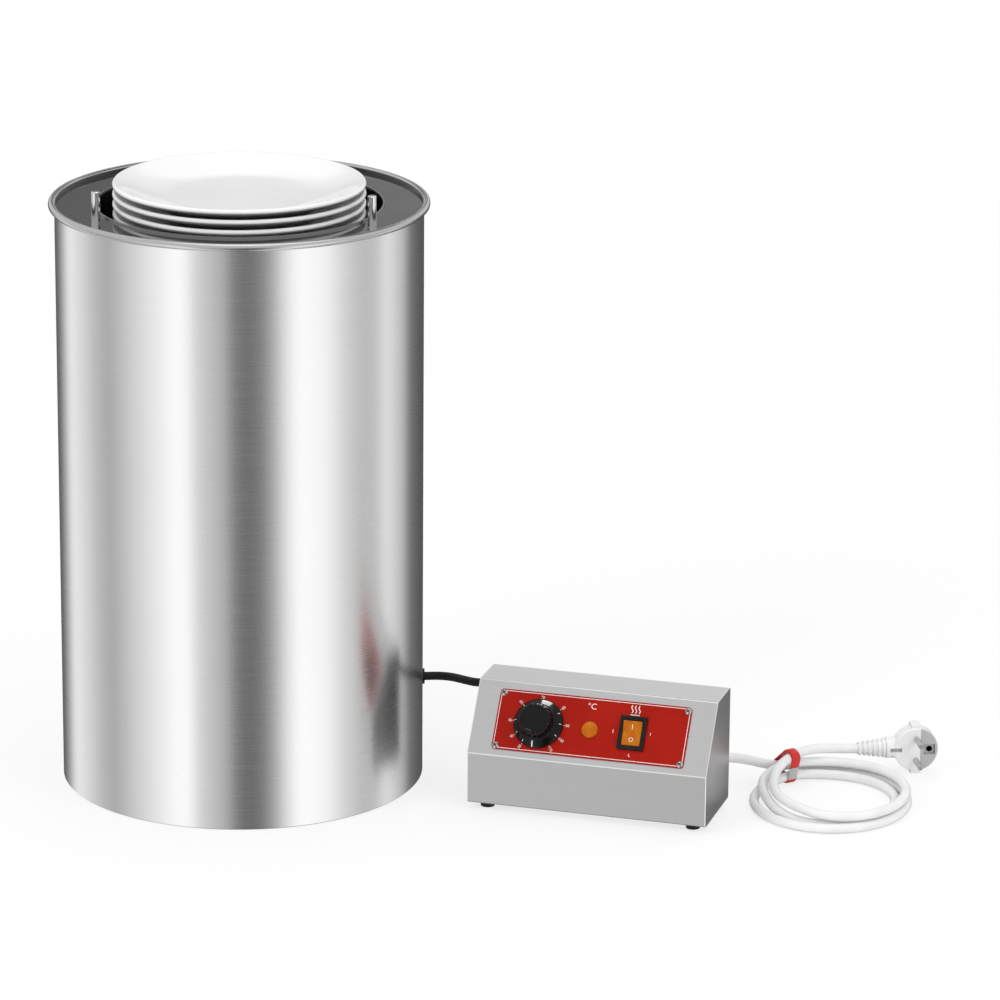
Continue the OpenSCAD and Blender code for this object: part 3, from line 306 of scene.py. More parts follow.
@finish_called("box steel")
def box_steel(recipe):
    right = BOX_X + BOX_W
    across, up = (0, 1, 0), (0, 0, 1)
    x, y, z = [recipe.along((0, 0, 0), way) for way in ((1, 0, 0), across, up)]
    # Painted light and shade by face: the front below the bend painted darker, the top painted lighter, the
    # left end face painted dark for its dark reflection, and painted highlights along the two folds and the
    # upright edges at both ends
    front = (BEND_Z - z > 0.1) * (BOX_FRONT + 1.5 - y > 0)
    fold_highlights = recipe.near((0, BOX_FRONT, BEND_Z), across, up, 0.5)
    fold_highlights = fold_highlights + recipe.near((0, BOX_FRONT + BOX_RUN, BOX_H), across, up, 0.4)
    end_highlights = (x > right - 0.7) * (right - 0.02 - x > 0) + (BOX_X + 0.5 - x > 0) * (x > BOX_X + 0.02)
    return brushed(
        recipe, (25, 900, 900), 0.60, (0.66, 0.66, 0.655), 0.33, 0.00002,
        parts=[
            (front, 0.42), (z > BOX_H - 0.1, 0.72), (BOX_X + 0.02 - x > 0, 0.36),
            (fold_highlights + end_highlights > 0.5, 0.90),
        ],
    )


@finish_called("heater sheath")
def heater_sheath(recipe):
    burn = recipe.noise(25, 4.0)
    return rubbed(recipe, burn, (0.16, 0.13, 0.11), (0.34, 0.31, 0.30), (0.35, 0.55), Metallic=1.0)


def moulded(recipe, low, high, rough, grain=900, depth=0.00002, **more):
    """Moulded plastic or rubber: a soft mottle and a fine pebbled skin."""
    mottle = recipe.noise(45)
    skin = recipe.noise(grain)
    return principled(
        recipe,
        Base_Color=recipe.blend(recipe.spread(mottle, 0.35, 0.65), low, high),
        Roughness=recipe.gloss(skin, rough - 0.04, rough + 0.04),
        Normal=recipe.bump(skin, 0.15, depth),
        **more,
    )


@finish_called("porcelain")
def porcelain(recipe):
    """White glaze, greyer underneath, where the plates shade one another."""
    pull = recipe.noise((30, 30, 60))
    glaze = recipe.blend(recipe.spread(pull, 0.35, 0.65), (0.83, 0.83, 0.825), 0.85)
    normal = recipe.node("ShaderNodeNewGeometry", out=1)
    facing = recipe.node("ShaderNodeSeparateXYZ", sockets={0: normal}, out=2)
    return principled(
        recipe,
        Base_Color=recipe.blend(recipe.spread(facing, -0.45, -0.15, 1.0, 0.0), glaze, 0.30),
        Roughness=recipe.gloss(pull, 0.10, 0.16),
        Normal=recipe.bump(pull, 0.05, 0.0001),
        Specular_IOR_Level=0.55,
    )


@finish_called("red panel")
def red_panel(recipe):
    return moulded(
        recipe, (0.32, 0.006, 0.001), (0.35, 0.008, 0.002), 0.33, 1100, Specular_IOR_Level=0.12
    )


# White print; it also draws the painted reflections of the numbers on the dial's skirt
@finish_called("white print")
def white_print_and_reflections(recipe):
    return moulded(recipe, (0.82, 0.80, 0.78), (0.88, 0.86, 0.84), 0.42, 1500)


@finish_called("black gloss")
def black_gloss(recipe):
    return moulded(
        recipe, 0.003, 0.005, 0.10, 700, 0.00001, Specular_IOR_Level=0.2
    )


@finish_called("black satin")
def black_satin(recipe):
    return moulded(
        recipe, 0.004, 0.008, 0.36, Specular_IOR_Level=0.25
    )


@finish_called("black rubber")
def black_rubber(recipe):
    return moulded(
        recipe, 0.005, 0.012, 0.48, 500, 0.00005, Specular_IOR_Level=0.25
    )


@finish_called("amber")
def amber(recipe):
    glow = recipe.noise(140)
    return principled(
        recipe,
        Base_Color=recipe.blend(
            recipe.spread(glow, NOISE_LOW, NOISE_HIGH), (0.40, 0.09, 0.002), (0.52, 0.16, 0.004)
        ),
        Roughness=recipe.gloss(glow, 0.10, 0.18),
        Specular_IOR_Level=0.15,
    )


@finish_called("white cord")
def white_cord(recipe):
    return moulded(recipe, (0.77, 0.775, 0.78), 0.82, 0.34, 600, 0.00003)


@finish_called("white plug")
def white_plug(recipe):
    return moulded(recipe, (0.77, 0.775, 0.78), 0.83, 0.30, 800, 0.00003)


@finish_called("nylon")
def nylon(recipe):
    return moulded(recipe, (0.72, 0.69, 0.58), (0.80, 0.77, 0.67), 0.45)


@finish_called("ceramic")
def ceramic(recipe):
    return moulded(recipe, (0.70, 0.66, 0.55), (0.80, 0.76, 0.66), 0.7, 400, 0.0001)


@finish_called("brass")
def brass(recipe):
    rub = recipe.noise(200)
    return rubbed(recipe, rub, (0.60, 0.42, 0.14), (0.76, 0.58, 0.26), (0.22, 0.34), Metallic=1.0)


@finish_called("plug face")
def plug_face(recipe):
    """White, with painted shade in grey on the face's right part, round the earth contact."""
    right = recipe.along(plug_at(), PLUG_AXES[:, 0]) > 3.5
    outer = recipe.along(plug_at(), PLUG_AXES[:, 2]) > -0.7
    # Painted shade: the face's right part is painted grey, for the shade of its recessed part
    right_part_shade = recipe.blend(recipe.noise(300), 0.40, 0.46)
    return rubbed(recipe, recipe.noise(45), 0.78, 0.83, (0.26, 0.34), [(right * outer, right_part_shade)])


@finish_called("contact steel")
def contact_steel(recipe):
    """Steel, with painted black shade in the round hole of the earth contact."""
    middle = plug_at() + EARTH_OUT * PLUG_AXES[:, 0]
    hole_shade = recipe.near(middle, PLUG_AXES[:, 0], PLUG_AXES[:, 1], EARTH_R)
    return rubbed(recipe, recipe.noise(200), 0.50, 0.64, (0.30, 0.40), [(hole_shade, 0.003)], Metallic=1.0)


@finish_called("tie plastic")
def tie_plastic(recipe):
    """Red, with a grey clasp low on the side that faces the coil's middle."""
    start = math.radians(COIL_START)
    inner = 0 - recipe.along((*COIL_CENTRE, 0), (math.cos(start), math.sin(start), 0)) > -COIL_R
    z = recipe.along((0, 0, 0), (0, 0, 1))
    mottle = recipe.noise(45)
    clasp = (inner * (z > CLASP_Z[0]) * (CLASP_Z[1] - z > 0), recipe.blend(mottle, 0.42, 0.50))
    return rubbed(recipe, mottle, (0.55, 0.010, 0.008), (0.62, 0.014, 0.010), (0.34, 0.42), [clasp])


# ---------- surfaces ----------


def linked(name, data):
    """An object of the scene that holds a mesh, a lamp or a camera."""
    made = bpy.data.objects.new(name, data)
    bpy.context.scene.collection.objects.link(made)
    return made


def stand(name, data, axes, place):
    """An object whose X, Y and Z point along three axes."""
    pose = np.eye(4)
    pose[:3, :3] = np.stack(axes, axis=1)
    pose[:3, 3] = place
    made = linked(name, data)
    made.matrix_world = Matrix(pose.tolist())
    return made


def unit(vectors):
    return vectors / np.linalg.norm(vectors, axis=-1, keepdims=True)


def soften(outline, times):
    """Cuts each corner of an open outline at a quarter and three quarters of its sides, a few times over."""
    outline = np.asarray(outline, float)
    for _ in range(times):
        before, after = outline[:-1], outline[1:]
        cut = np.stack([0.75 * before + 0.25 * after, 0.25 * before + 0.75 * after], axis=1)
        outline = np.vstack([outline[:1], cut.reshape(-1, outline.shape[1]), outline[-1:]])
    return outline


def arc(x, y, radius, angle):
    """Points at a radius from (x, y), at the given angles."""
    return np.stack([x + radius * np.cos(angle), y + radius * np.sin(angle)], axis=1)


def lathe(profile, columns):
    """p(i, a) = (r_i cos a, r_i sin a, z_i): a profile of (r, z) turned about Z."""
    profile = np.asarray(profile, float)
    angle = np.arange(columns) * TURN / columns
    r, z = profile[:, :1], profile[:, 1:]
    return np.stack([r * np.cos(angle), r * np.sin(angle), z + 0 * angle], axis=-1)


def tube(path, radius, columns):
    """p(s, a) = path(s) + r (side cos a + across sin a): a circle carried along a path."""
    heading = unit(np.gradient(path, axis=0))
    upright = np.broadcast_to([0.0, 0.0, 1.0], path.shape)
    side = unit(upright - (upright * heading).sum(-1, keepdims=True) * heading)[:, None]
    across = np.cross(heading, side[:, 0])[:, None]
    angle = (np.arange(columns) * TURN / columns)[None, :, None]
    return path[:, None] + radius * (side * np.cos(angle) + across * np.sin(angle))


def even_path(points, step, rounding=0):
    """Points every step along a line through the given ones, with its corners averaged out."""
    points = np.asarray(points, float)
    along = np.r_[0, np.cumsum(np.linalg.norm(np.diff(points, axis=0), axis=1))]
    count = max(2, int(round(along[-1] / step)) + 1)
    places = np.linspace(0, along[-1], count)
    path = np.stack([np.interp(places, along, points[:, k]) for k in range(3)], axis=1)
    window = np.hanning(rounding * 2 + 3)[1:-1]
    for _ in range(3 if rounding else 0):
        before = 2 * path[0] - path[rounding:0:-1]
        after = 2 * path[-1] - path[-2 : -rounding - 2 : -1]
        padded = np.vstack([before, path, after])
        path = np.stack(
            [np.convolve(padded[:, k], window / window.sum(), "valid") for k in range(3)], axis=1
        )
    return path


def move(points, matrix, shift=(0, 0, 0)):
    """Points times a 3 x 3 matrix whose columns are the new axes, then shifted."""
    return np.asarray(points, float) @ np.asarray(matrix, float).T + np.asarray(shift, float)


class Shape:
    """Grids of points gathered into one mesh."""

    def __init__(self):
        self.points, self.faces, self.count = [], [], 0

    def grid(self, points, round_rows=False, round_columns=True, caps=False):
        rows, columns = points.shape[:2]
        i = np.arange(rows if round_rows else rows - 1)
        j = np.arange(columns if round_columns else columns - 1)
        i, j = [g.ravel() for g in np.meshgrid(i, j, indexing="ij")]
        after_i, after_j = (i + 1) % rows, (j + 1) % columns
        quads = np.stack(
            [i * columns + j, i * columns + after_j, after_i * columns + after_j, after_i * columns + j],
            axis=1,
        )
        faces = quads.tolist()
        if caps:
            first = np.arange(columns)
            faces += [first[::-1].tolist(), (first + (rows - 1) * columns).tolist()]
        return self.add(points.reshape(-1, 3), faces)

    def add(self, points, faces):
        self.points.append(np.asarray(points, float))
        self.faces += [[k + self.count for k in face] for face in faces]
        self.count += len(points)
        return self

    def build(self, name, finish, body, stands_for=(), slot=None, weld=0.004, sharp=35, bevel=0, solid=0):
        """Makes the piece, in metres from millimetres, and puts it on its body."""
        mesh = bpy.data.meshes.new(name)
        mesh.from_pydata((np.vstack(self.points) * MM).tolist(), [], self.faces)
        work = bmesh.new()
        work.from_mesh(mesh)
        if weld:
            bmesh.ops.remove_doubles(work, verts=work.verts, dist=weld * MM)
        bmesh.ops.recalc_face_normals(work, faces=work.faces)
        work.to_mesh(mesh)
        work.free()
        mesh.shade_smooth()
        mesh.set_sharp_from_angle(angle=math.radians(sharp))
        mesh.materials.append(finish)
        piece = linked(name, mesh)
        if solid:
            wall = piece.modifiers.new("wall", "SOLIDIFY")
            wall.thickness = solid * MM
            wall.offset = 1
        if bevel:
            edge = piece.modifiers.new("edge", "BEVEL")
            edge.width = bevel * MM
            edge.segments = 3
            edge.limit_method = "ANGLE"
            edge.angle_limit = math.radians(40)
            edge.harden_normals = True
        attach(piece, body)
        if stands_for:
            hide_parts(*stands_for)
        return piece


def dress(finish, *nodes):
    """Gives CAD nodes a finish."""
    for name in nodes:
        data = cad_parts[name].data
        data.materials.clear()
        data.materials.append(finish)


# ---------- places that the CAD source sets, in millimetres ----------

DRUM_R, WALL, DRUM_TOP = 150.0, 1.2, 490.0
BEAD_R, BEAD_OUT = 3.0, 2.0
FLANGE_W, BASE_T = 12.0, 2.0
PLATE_R, PLATE_H, PLATE_STEP = 103.0, 20.0, 8.3
STACK_Z, PLATE_COUNT = 393.7, 12
WELL_LIP_Z = 485.3
# Half section of a plate: its underside from the foot out, its lip's radius, and its top from the rim in
PLATE_UNDER = [(30, 3.5), (43.5, 3.5), (47, 0.0), (53, 0.0), (56.5, 3.0), (66, 4.4), (80, 7.6), (96, 13.6)]
PLATE_LIP_R = 2.2
PLATE_OVER = [(94, 18.0), (80, 12.6), (68, 9.6), (60, 8.45), (52, PLATE_STEP), (30, PLATE_STEP)]
BOX_X, BOX_FRONT, BEND_Z = 207.6, -39.8, 49.0
BOX_W, BOX_RUN, BOX_H = 201.8, 36.4, 101.4
SLOPE = math.atan2(52.4, 36.4)
PANEL_U, PANEL_V, PANEL_W, PANEL_H, PANEL_T = 19.5, 5.45, 162.0, 51.5, 1.0
SCREW_IN, SLOT_R, SLOT_Z = 3.2, 1.75, 0.76
DIAL_U, DIAL_V = PANEL_U + 36.4, PANEL_V + 24.6
DIAL_SKIRT_R, DIAL_GRIP_R, DIAL_LOW, DIAL_TOP = 20.85, 14.0, PANEL_T + 0.6, PANEL_T + 17.2
LAMP_U, LAMP_V, LAMP_R, LAMP_RISE = PANEL_U + 80.0, PANEL_V + 24.0, 6.85, 2.6
SWITCH_U, SWITCH_V = PANEL_U + 115.6, PANEL_V + 24.7
ROCKER_W, ROCKER_HALF, ROCKER_LEAN, ROCKER_OUT = 15.5, 10.2, math.radians(8), 0.4
# Print on the panel: its border, the numbers' angles round the dial, their radii, and their dashes
BORDER_IN, BORDER_R = 1.7, 2.4
NUMBER_ANGLES, TOP_ANGLE = (238, 211, 178, 136, 90, 40, 2, -29, -56), 90
NUMBER_R, TOP_NUMBER_R, DASH_R = 24.3, 22.7, (20.9, 22.0)
# Angles of the painted reflections of the numbers, drawn as short white marks on the dial's skirt
REFLECTED_NUMBER_ANGLES = (238, 211, 178, 136, 30, 2, -29)
# The degree sign, the middle and foot of the heat sign, and the small marks round the switch
CELSIUS_AT, CELSIUS_H = (98.3, 49.6), 5.0
HEAT_U, HEAT_V, HEAT_H, HEAT_STEP, HEAT_LINE = 134.9, 47.3, 6.4, 3.0, 0.75
SIDE_MARKS = [((118.8, 29.1), (118.8, 31.9), 0.55), ((150.2, 29.9), (150.2, 32.3), 0.4)]
LOW_MARK = (135.5, 11.9)
SLOPE_AXES = np.array(
    [[1, 0, 0], [0, math.cos(SLOPE), -math.sin(SLOPE)], [0, math.sin(SLOPE), math.cos(SLOPE)]]
)


def on_slope(points, u=0.0, v=0.0, w=0.0):
    """Points of the panel (along, up the slope, outwards) in the row frame."""
    return move(np.asarray(points, float) + [u, v, w], SLOPE_AXES, (BOX_X, BOX_FRONT, BEND_Z))


# ---------- sizes and colours to change ----------


class StageSettings(bpy.types.PropertyGroup):
    floor_tone: FloatProperty(
        name="Floor", description="Brightness of the floor", default=0.92, min=0, max=1, subtype="FACTOR",
    )
    surround: FloatProperty(name="Surround", description="Light from all round", default=0.84, min=0, max=4)
    key_power: FloatProperty(
        name="Key light", description="Power of the large lamp in front", default=33, min=0, unit="POWER",
    )
    fill_power: FloatProperty(
        name="Fill light", description="Power of the lamp on the right", default=15, min=0, unit="POWER",
    )
    top_power: FloatProperty(
        name="Top light", description="Power of the lamp overhead", default=10, min=0, unit="POWER",
    )
    lens: FloatProperty(
        name="Lens", description="Focal length of the camera in millimetres", default=191.2, min=20,
    )


class DrumSettings(bpy.types.PropertyGroup):
    columns: IntProperty(name="Columns", description="Faces round the drum", default=256, min=32, max=512)
    crease: FloatProperty(
        name="Edge rounding", description="Radius of the drum's lower edge",
        default=0.0005, min=0, unit="LENGTH",
    )


class PlateSettings(bpy.types.PropertyGroup):
    columns: IntProperty(name="Columns", description="Faces round a plate", default=160, min=32, max=360)
    rounding: IntProperty(
        name="Rounding", description="How often the corners of a plate's section are cut",
        default=3, min=0, max=4,
    )


class DialSettings(bpy.types.PropertyGroup):
    flutes: IntProperty(
        name="Flutes", description="Number of flutes round the grip", default=18, min=6, max=48,
    )
    flute_depth: FloatProperty(
        name="Flute depth", description="Depth of a flute", default=0.0006, min=0, unit="LENGTH",
    )
    pointer_angle: FloatProperty(
        name="Pointer", description="Where the pointer stands on the panel",
        default=math.radians(265), subtype="ANGLE",
    )


class PrintSettings(bpy.types.PropertyGroup):
    numbers: StringProperty(
        name="Numbers", description="Numbers round the dial, from the lowest",
        default="30 40 50 60 70 80 90 100 110",
    )
    height: FloatProperty(
        name="Height", description="Height of a number", default=0.0023, min=0.001, unit="LENGTH",
    )
    line: FloatProperty(
        name="Line", description="Width of the printed lines", default=0.0005, min=0.0001, unit="LENGTH",
    )


class CordSettings(bpy.types.PropertyGroup):
    columns: IntProperty(name="Columns", description="Faces round a cord", default=20, min=8, max=48)
    step: FloatProperty(
        name="Step", description="Distance between the rings of a cord",
        default=0.0025, min=0.001, unit="LENGTH",
    )


class PlugSettings(bpy.types.PropertyGroup):
    ribs: IntProperty(
        name="Ribs", description="Number of ribs on the plug's strain relief", default=6, min=3, max=10,
    )


GROUPS = {
    "stage": StageSettings,
    "drum": DrumSettings,
    "plates": PlateSettings,
    "dial": DialSettings,
    "print": PrintSettings,
    "cords": CordSettings,
    "plug": PlugSettings,
}


# ---------- stage ----------

CAMERA_PLACE = (1.3826, -3.9644, 1.5126)
CAMERA_TURN, CAMERA_DOWN, CAMERA_ROLL = (math.radians(a) for a in (16.314, 16.936, 0.45))
# What steel mirrors below the horizon: brightness by direction, from -180 to 180 degrees
STUDIO_BANDS = [
    (-180, 0.04), (-157, 0.10), (-148, 0.34), (-132, 1.10), (-115, 0.86), (-101, 0.60), (-90, 0.47),
    (-80, 0.66), (-70, 0.86), (-52, 1.14), (-43, 1.36), (-35, 1.40), (-27, 0.78), (-11, 0.58),
    (-4, 0.16), (4, 0.11), (12, 0.17), (20, 0.44), (28, 1.02), (36, 1.40), (53, 1.26), (71, 0.82),
    (81, 0.63), (92, 0.64), (104, 1.02), (118, 0.72), (135, 0.15), (160, 0.08), (180, 0.04),
]
BAND_TOP = 1.4
SENSOR_W = 36
# Each lamp's place and size in metres, and whether steel mirrors it
LAMPS = {
    "key": ((-1.6, -2.4, 2.4), 1.8, False),
    "fill": ((2.6, -1.2, 1.5), 1.6, False),
    "top": ((0.2, 0.3, 2.8), 2.2, True),
}
LAMPS_FACE = (0.15, 0.0, 0.2)
# The floor: its radius, and where its shading gives way to plain white
FLOOR_R, FADE_FROM, FADE_TO, FADE_LEAST = 9.0, 0.7, 2.2, 0.72
# Each card's two sides in X, and its lower and upper edge in Y and Z
DARK_CARD = ((-0.6, 0.06), (0.8, 0.6), (0.8, 0.95))
BRIGHT_CARD = ((-0.1, 0.5), (1.0, 1.2), (0.5, 1.8))
BRIGHT_CARD_POWER = 26.0


def studio_band(recipe, where):
    """Brightness of the studio in the direction of a vector, round the upright axis."""
    towards = (CAMERA_PLACE[0], CAMERA_PLACE[1], 0)
    ahead = np.array(towards) / np.linalg.norm(towards)
    right = (-ahead[1], ahead[0], 0)
    across, along = [
        recipe.node("ShaderNodeVectorMath", {"operation": "DOT_PRODUCT"}, {0: where, 1: way}, out=1)
        for way in (right, tuple(ahead))
    ]
    turn = recipe.node("ShaderNodeMath", {"operation": "ARCTAN2"}, {0: across, 1: along})
    stops = [((angle + 180) / 360, (tone / BAND_TOP,) * 3) for angle, tone in STUDIO_BANDS]
    return recipe.node(
        "ShaderNodeValToRGB", {"stops": stops, "interpolation": "EASE"}, {0: turn * (1 / TURN) + 0.5}
    )


class PLATE_OT_stage(bpy.types.Operator):
    """Adds the camera, lamps, world and floor"""

    bl_idname = "plate_warmer.stage"
    bl_label = "Stage"

    def execute(self, context):
        setup = settings("stage")
        self.add_camera(context.scene, setup)
        self.add_world(context.scene, setup)
        self.add_floor(setup)
        for name, lamp in LAMPS.items():
            self.add_lamp(name, *lamp, getattr(setup, name + "_power"))
        self.add_cards()
        context.scene.view_settings.view_transform = "Standard"
        return {"FINISHED"}

    def add_camera(self, scene, setup):
        camera = bpy.data.cameras.new("studio_camera")
        camera.lens = setup.lens
        camera.sensor_width = SENSOR_W
        camera.sensor_fit = "HORIZONTAL"
        camera.clip_end = 50
        sin, cos = math.sin, math.cos
        ahead = np.array([-sin(CAMERA_TURN), cos(CAMERA_TURN), 0])
        right = np.array([cos(CAMERA_TURN), sin(CAMERA_TURN), 0])
        up = np.array([0, 0, 1.0])
        look = cos(CAMERA_DOWN) * ahead - sin(CAMERA_DOWN) * up
        top = sin(CAMERA_DOWN) * ahead + cos(CAMERA_DOWN) * up
        axes = [
            cos(CAMERA_ROLL) * right + sin(CAMERA_ROLL) * top,
            cos(CAMERA_ROLL) * top - sin(CAMERA_ROLL) * right,
            -look,
        ]
        scene.camera = stand("studio_camera", camera, axes, CAMERA_PLACE)

    def add_world(self, scene, setup):
        world = bpy.data.worlds.new("studio")
        world.use_nodes = True
        scene.world = world
        recipe = Recipe(world.node_tree, "ShaderNodeOutputWorld")
        where = recipe.node("ShaderNodeTexCoord", out="Generated")
        around, seen, sky, bands = [
            recipe.node("ShaderNodeBackground", sockets={0: colour, 1: power})
            for colour, power in (
                (rgba(1), setup.surround),
                (rgba(1), 1.0),
                (rgba(0.80), 1.0),
                (studio_band(recipe, where), BAND_TOP),
            )
        ]
        rise = recipe.node("ShaderNodeSeparateXYZ", sockets={0: where}, out=2)
        below = recipe.spread(rise, -0.04, 0.02, 1.0, 0.0)
        recipe.surface(recipe.by_ray(around, recipe.mix(below, sky, bands), seen))

    def add_floor(self, setup):
        @finish_called("studio floor")
        def floor_finish(recipe):
            matt = recipe.node("ShaderNodeBsdfDiffuse", sockets={0: rgba(setup.floor_tone)})
            white = recipe.node("ShaderNodeEmission", sockets={0: rgba(1.0), 1: 1.0})
            where = recipe.node("ShaderNodeTexCoord", out="Object")
            away = recipe.node("ShaderNodeVectorMath", {"operation": "LENGTH"}, {0: where}, out=1)
            seen = recipe.mix(recipe.spread(away, FADE_FROM, FADE_TO, FADE_LEAST, 1.0), matt, white)
            clear = recipe.node("ShaderNodeBsdfTransparent", sockets={0: rgba(1)})
            return recipe.by_ray(matt, clear, seen)

        mesh = bpy.data.meshes.new("floor")
        angle = np.arange(64) * TURN / 64
        ring = np.stack([FLOOR_R * np.cos(angle), FLOOR_R * np.sin(angle), 0 * angle - 0.0003], axis=1)
        mesh.from_pydata(ring.tolist(), [], [list(range(64))])
        mesh.materials.append(floor_finish())
        linked("floor", mesh)

    def add_lamp(self, name, place, size, mirrored, power):
        lamp = bpy.data.lights.new(name, "AREA")
        lamp.shape = "DISK"
        lamp.size = size
        lamp.energy = power
        back = unit(np.array(place) - LAMPS_FACE)
        side = unit(np.cross([0.0, 0.001, 1.0], back))
        made = stand(name, lamp, [side, np.cross(back, side), back], place)
        made.visible_glossy = mirrored

    def add_card(self, name, sides, low, high, finish):
        """A card that only glossy surfaces mirror."""
        left, right = sides
        mesh = bpy.data.meshes.new(name)
        mesh.from_pydata([(left, *low), (right, *low), (right, *high), (left, *high)], [], [(0, 1, 2, 3)])
        mesh.materials.append(finish)
        card = linked(name, mesh)
        card.visible_camera = card.visible_diffuse = card.visible_shadow = False
        card.visible_transmission = False

    def add_cards(self):
        @finish_called("dark card")
        def dark(recipe):
            tone = recipe.blend(recipe.spread(recipe.axes()[0], -0.45, 0.0), 0.22, 0.36)
            return recipe.node("ShaderNodeEmission", sockets={0: tone, 1: 1.0})

        @finish_called("bright card")
        def bright(recipe):
            return recipe.node("ShaderNodeEmission", sockets={0: rgba(1.0), 1: BRIGHT_CARD_POWER})

        # Behind the drum, for the deck; and over the box, for the wedge of light on the dial's skirt
        self.add_card("dark_card", *DARK_CARD, dark())
        self.add_card("bright_card", *BRIGHT_CARD, bright())


# ---------- drum and plates ----------


class PLATE_OT_drum(bpy.types.Operator):
    """Builds the drum with its rolled edge and finishes the deck, well and posts"""

    bl_idname = "plate_warmer.drum"
    bl_label = "Drum"

    def execute(self, context):
        setup = settings("drum")
        inner = DRUM_R - WALL
        middle_z = DRUM_TOP - BEAD_R
        crease = setup.crease / MM
        # The bead's arc runs from the inner wall over the top to the groove under it
        turn = np.radians(np.linspace(184, -132, 40))
        bead = arc(DRUM_R + BEAD_OUT, middle_z, BEAD_R, turn)
        heights = np.linspace(middle_z - 6, 4, 24)
        wall = np.stack([np.full(24, DRUM_R), heights], axis=1)
        profile = np.vstack([
            [[inner - FLANGE_W, BASE_T + WALL], [inner - 1, BASE_T + WALL], [inner, BASE_T + WALL + 1]],
            [[inner, middle_z - 4], [inner, middle_z - 1]],
            bead,
            wall,
            [[DRUM_R, crease], [DRUM_R - crease, 0]],
            [[inner, 0], [inner, BASE_T], [inner - FLANGE_W, BASE_T]],
        ])
        shape = Shape().grid(lathe(profile, setup.columns), round_rows=True)
        shape.build("drum", drum_steel(), "unit", ["drum_shell"], "drum_steel", weld=0.001, sharp=40)
        dress(deck_steel(), "top_deck")
        dress(well_steel(), "well_tube")
        dress(polished_steel(), "locating_posts", "post_nuts", "base_screws", "base_nuts", "hanger_rivets")
        dress(plain_steel(), "base_plate", "spring_hangers", "probe_clip")
        dress(spring_steel(), "lift_springs")
        return {"FINISHED"}


class PLATE_OT_heater(bpy.types.Operator):
    """Finishes the heater and the parts round it"""

    bl_idname = "plate_warmer.heater"
    bl_label = "Heater"

    def execute(self, context):
        dress(plain_steel(), "reflector_plate", "reflector_spacers", "heater_clips")
        dress(heater_sheath(), "ring_heater")
        dress(ceramic(), "heater_bushes")
        dress(black_satin(), "overheat_cutout")
        dress(polished_steel(), "temperature_probe")
        return {"FINISHED"}


class PLATE_OT_carrier(bpy.types.Operator):
    """Finishes the sprung carrier under the plates"""

    bl_idname = "plate_warmer.carrier"
    bl_label = "Carrier"

    def execute(self, context):
        dress(plain_steel(), "plate_platform", "carrier_column", "carrier_spider")
        dress(polished_steel(), "carrier_rivets")
        dress(nylon(), "guide_shoes")
        return {"FINISHED"}


class PLATE_OT_plates(bpy.types.Operator):
    """Builds the stack of plates and the plate on top of it"""

    bl_idname = "plate_warmer.plates"
    bl_label = "Plates"

    def plate(self, foot_z):
        """Half section of a plate: foot, underside, rounded lip, rim and flat well."""
        setup = settings("plates")
        lip = np.radians(np.linspace(-70, 110, 14))
        section = np.vstack([
            [(0, PLATE_UNDER[0][1])],
            soften(PLATE_UNDER, setup.rounding),
            arc(PLATE_R - PLATE_LIP_R, PLATE_H - PLATE_LIP_R, PLATE_LIP_R, lip),
            soften(PLATE_OVER, setup.rounding),
            [(0, PLATE_OVER[-1][1])],
        ])
        return lathe(section + [0, foot_z], setup.columns)

    def execute(self, context):
        stack = Shape()
        for k in range(PLATE_COUNT - 1):
            stack.grid(self.plate(STACK_Z + k * PLATE_STEP))
        stack.build(
            "plates_below", porcelain(), "plate_stack", ["plate_stack"], "porcelain", weld=0.001, sharp=60
        )
        top = Shape().grid(self.plate(STACK_Z + (PLATE_COUNT - 1) * PLATE_STEP))
        top.build("plate_on_top", porcelain(), "top_plate", ["top_plate"], "porcelain", weld=0.001, sharp=60)
        return {"FINISHED"}


# ---------- control box ----------


class PLATE_OT_control_box(bpy.types.Operator):
    """Finishes the folded steel box, its feet and what it holds"""

    bl_idname = "plate_warmer.control_box"
    bl_label = "Control box"

    def execute(self, context):
        dress(box_steel(), "box_housing", "box_base")
        dress(black_rubber(), "box_feet", "box_grommet", "drum_grommet")
        dress(polished_steel(), "foot_screws", "foot_nuts", "thermostat_screws")
        dress(screw_steel(), "panel_screws")
        dress(plain_steel(), "thermostat")
        dress(ceramic(), "terminal_block")
        return {"FINISHED"}


def strip(path, width):
    """A flat strip along a path on the panel: path(s) +- width / 2 across it."""
    path = np.asarray(path, float)
    heading = unit(np.gradient(path, axis=0))
    across = np.stack([-heading[:, 1], heading[:, 0]], axis=1) * width / 2
    return np.stack([path - across, path + across], axis=1)


def flat(grid2):
    """Grid of (u, v) made (u, v, 0)."""
    return np.concatenate([grid2, np.zeros(grid2.shape[:-1] + (1,))], axis=-1)


def rounded_loop(u0, v0, u1, v1, r, steps=8):
    """Corner arcs of a rectangle, joined by its straight sides."""
    quarter = np.radians(np.linspace(0, 90, steps))
    corners = [(u1 - r, v1 - r, 0), (u0 + r, v1 - r, 90), (u0 + r, v0 + r, 180), (u1 - r, v0 + r, 270)]
    return np.vstack([
        arc(u, v, r, quarter + math.radians(a)) for u, v, a in corners
    ])


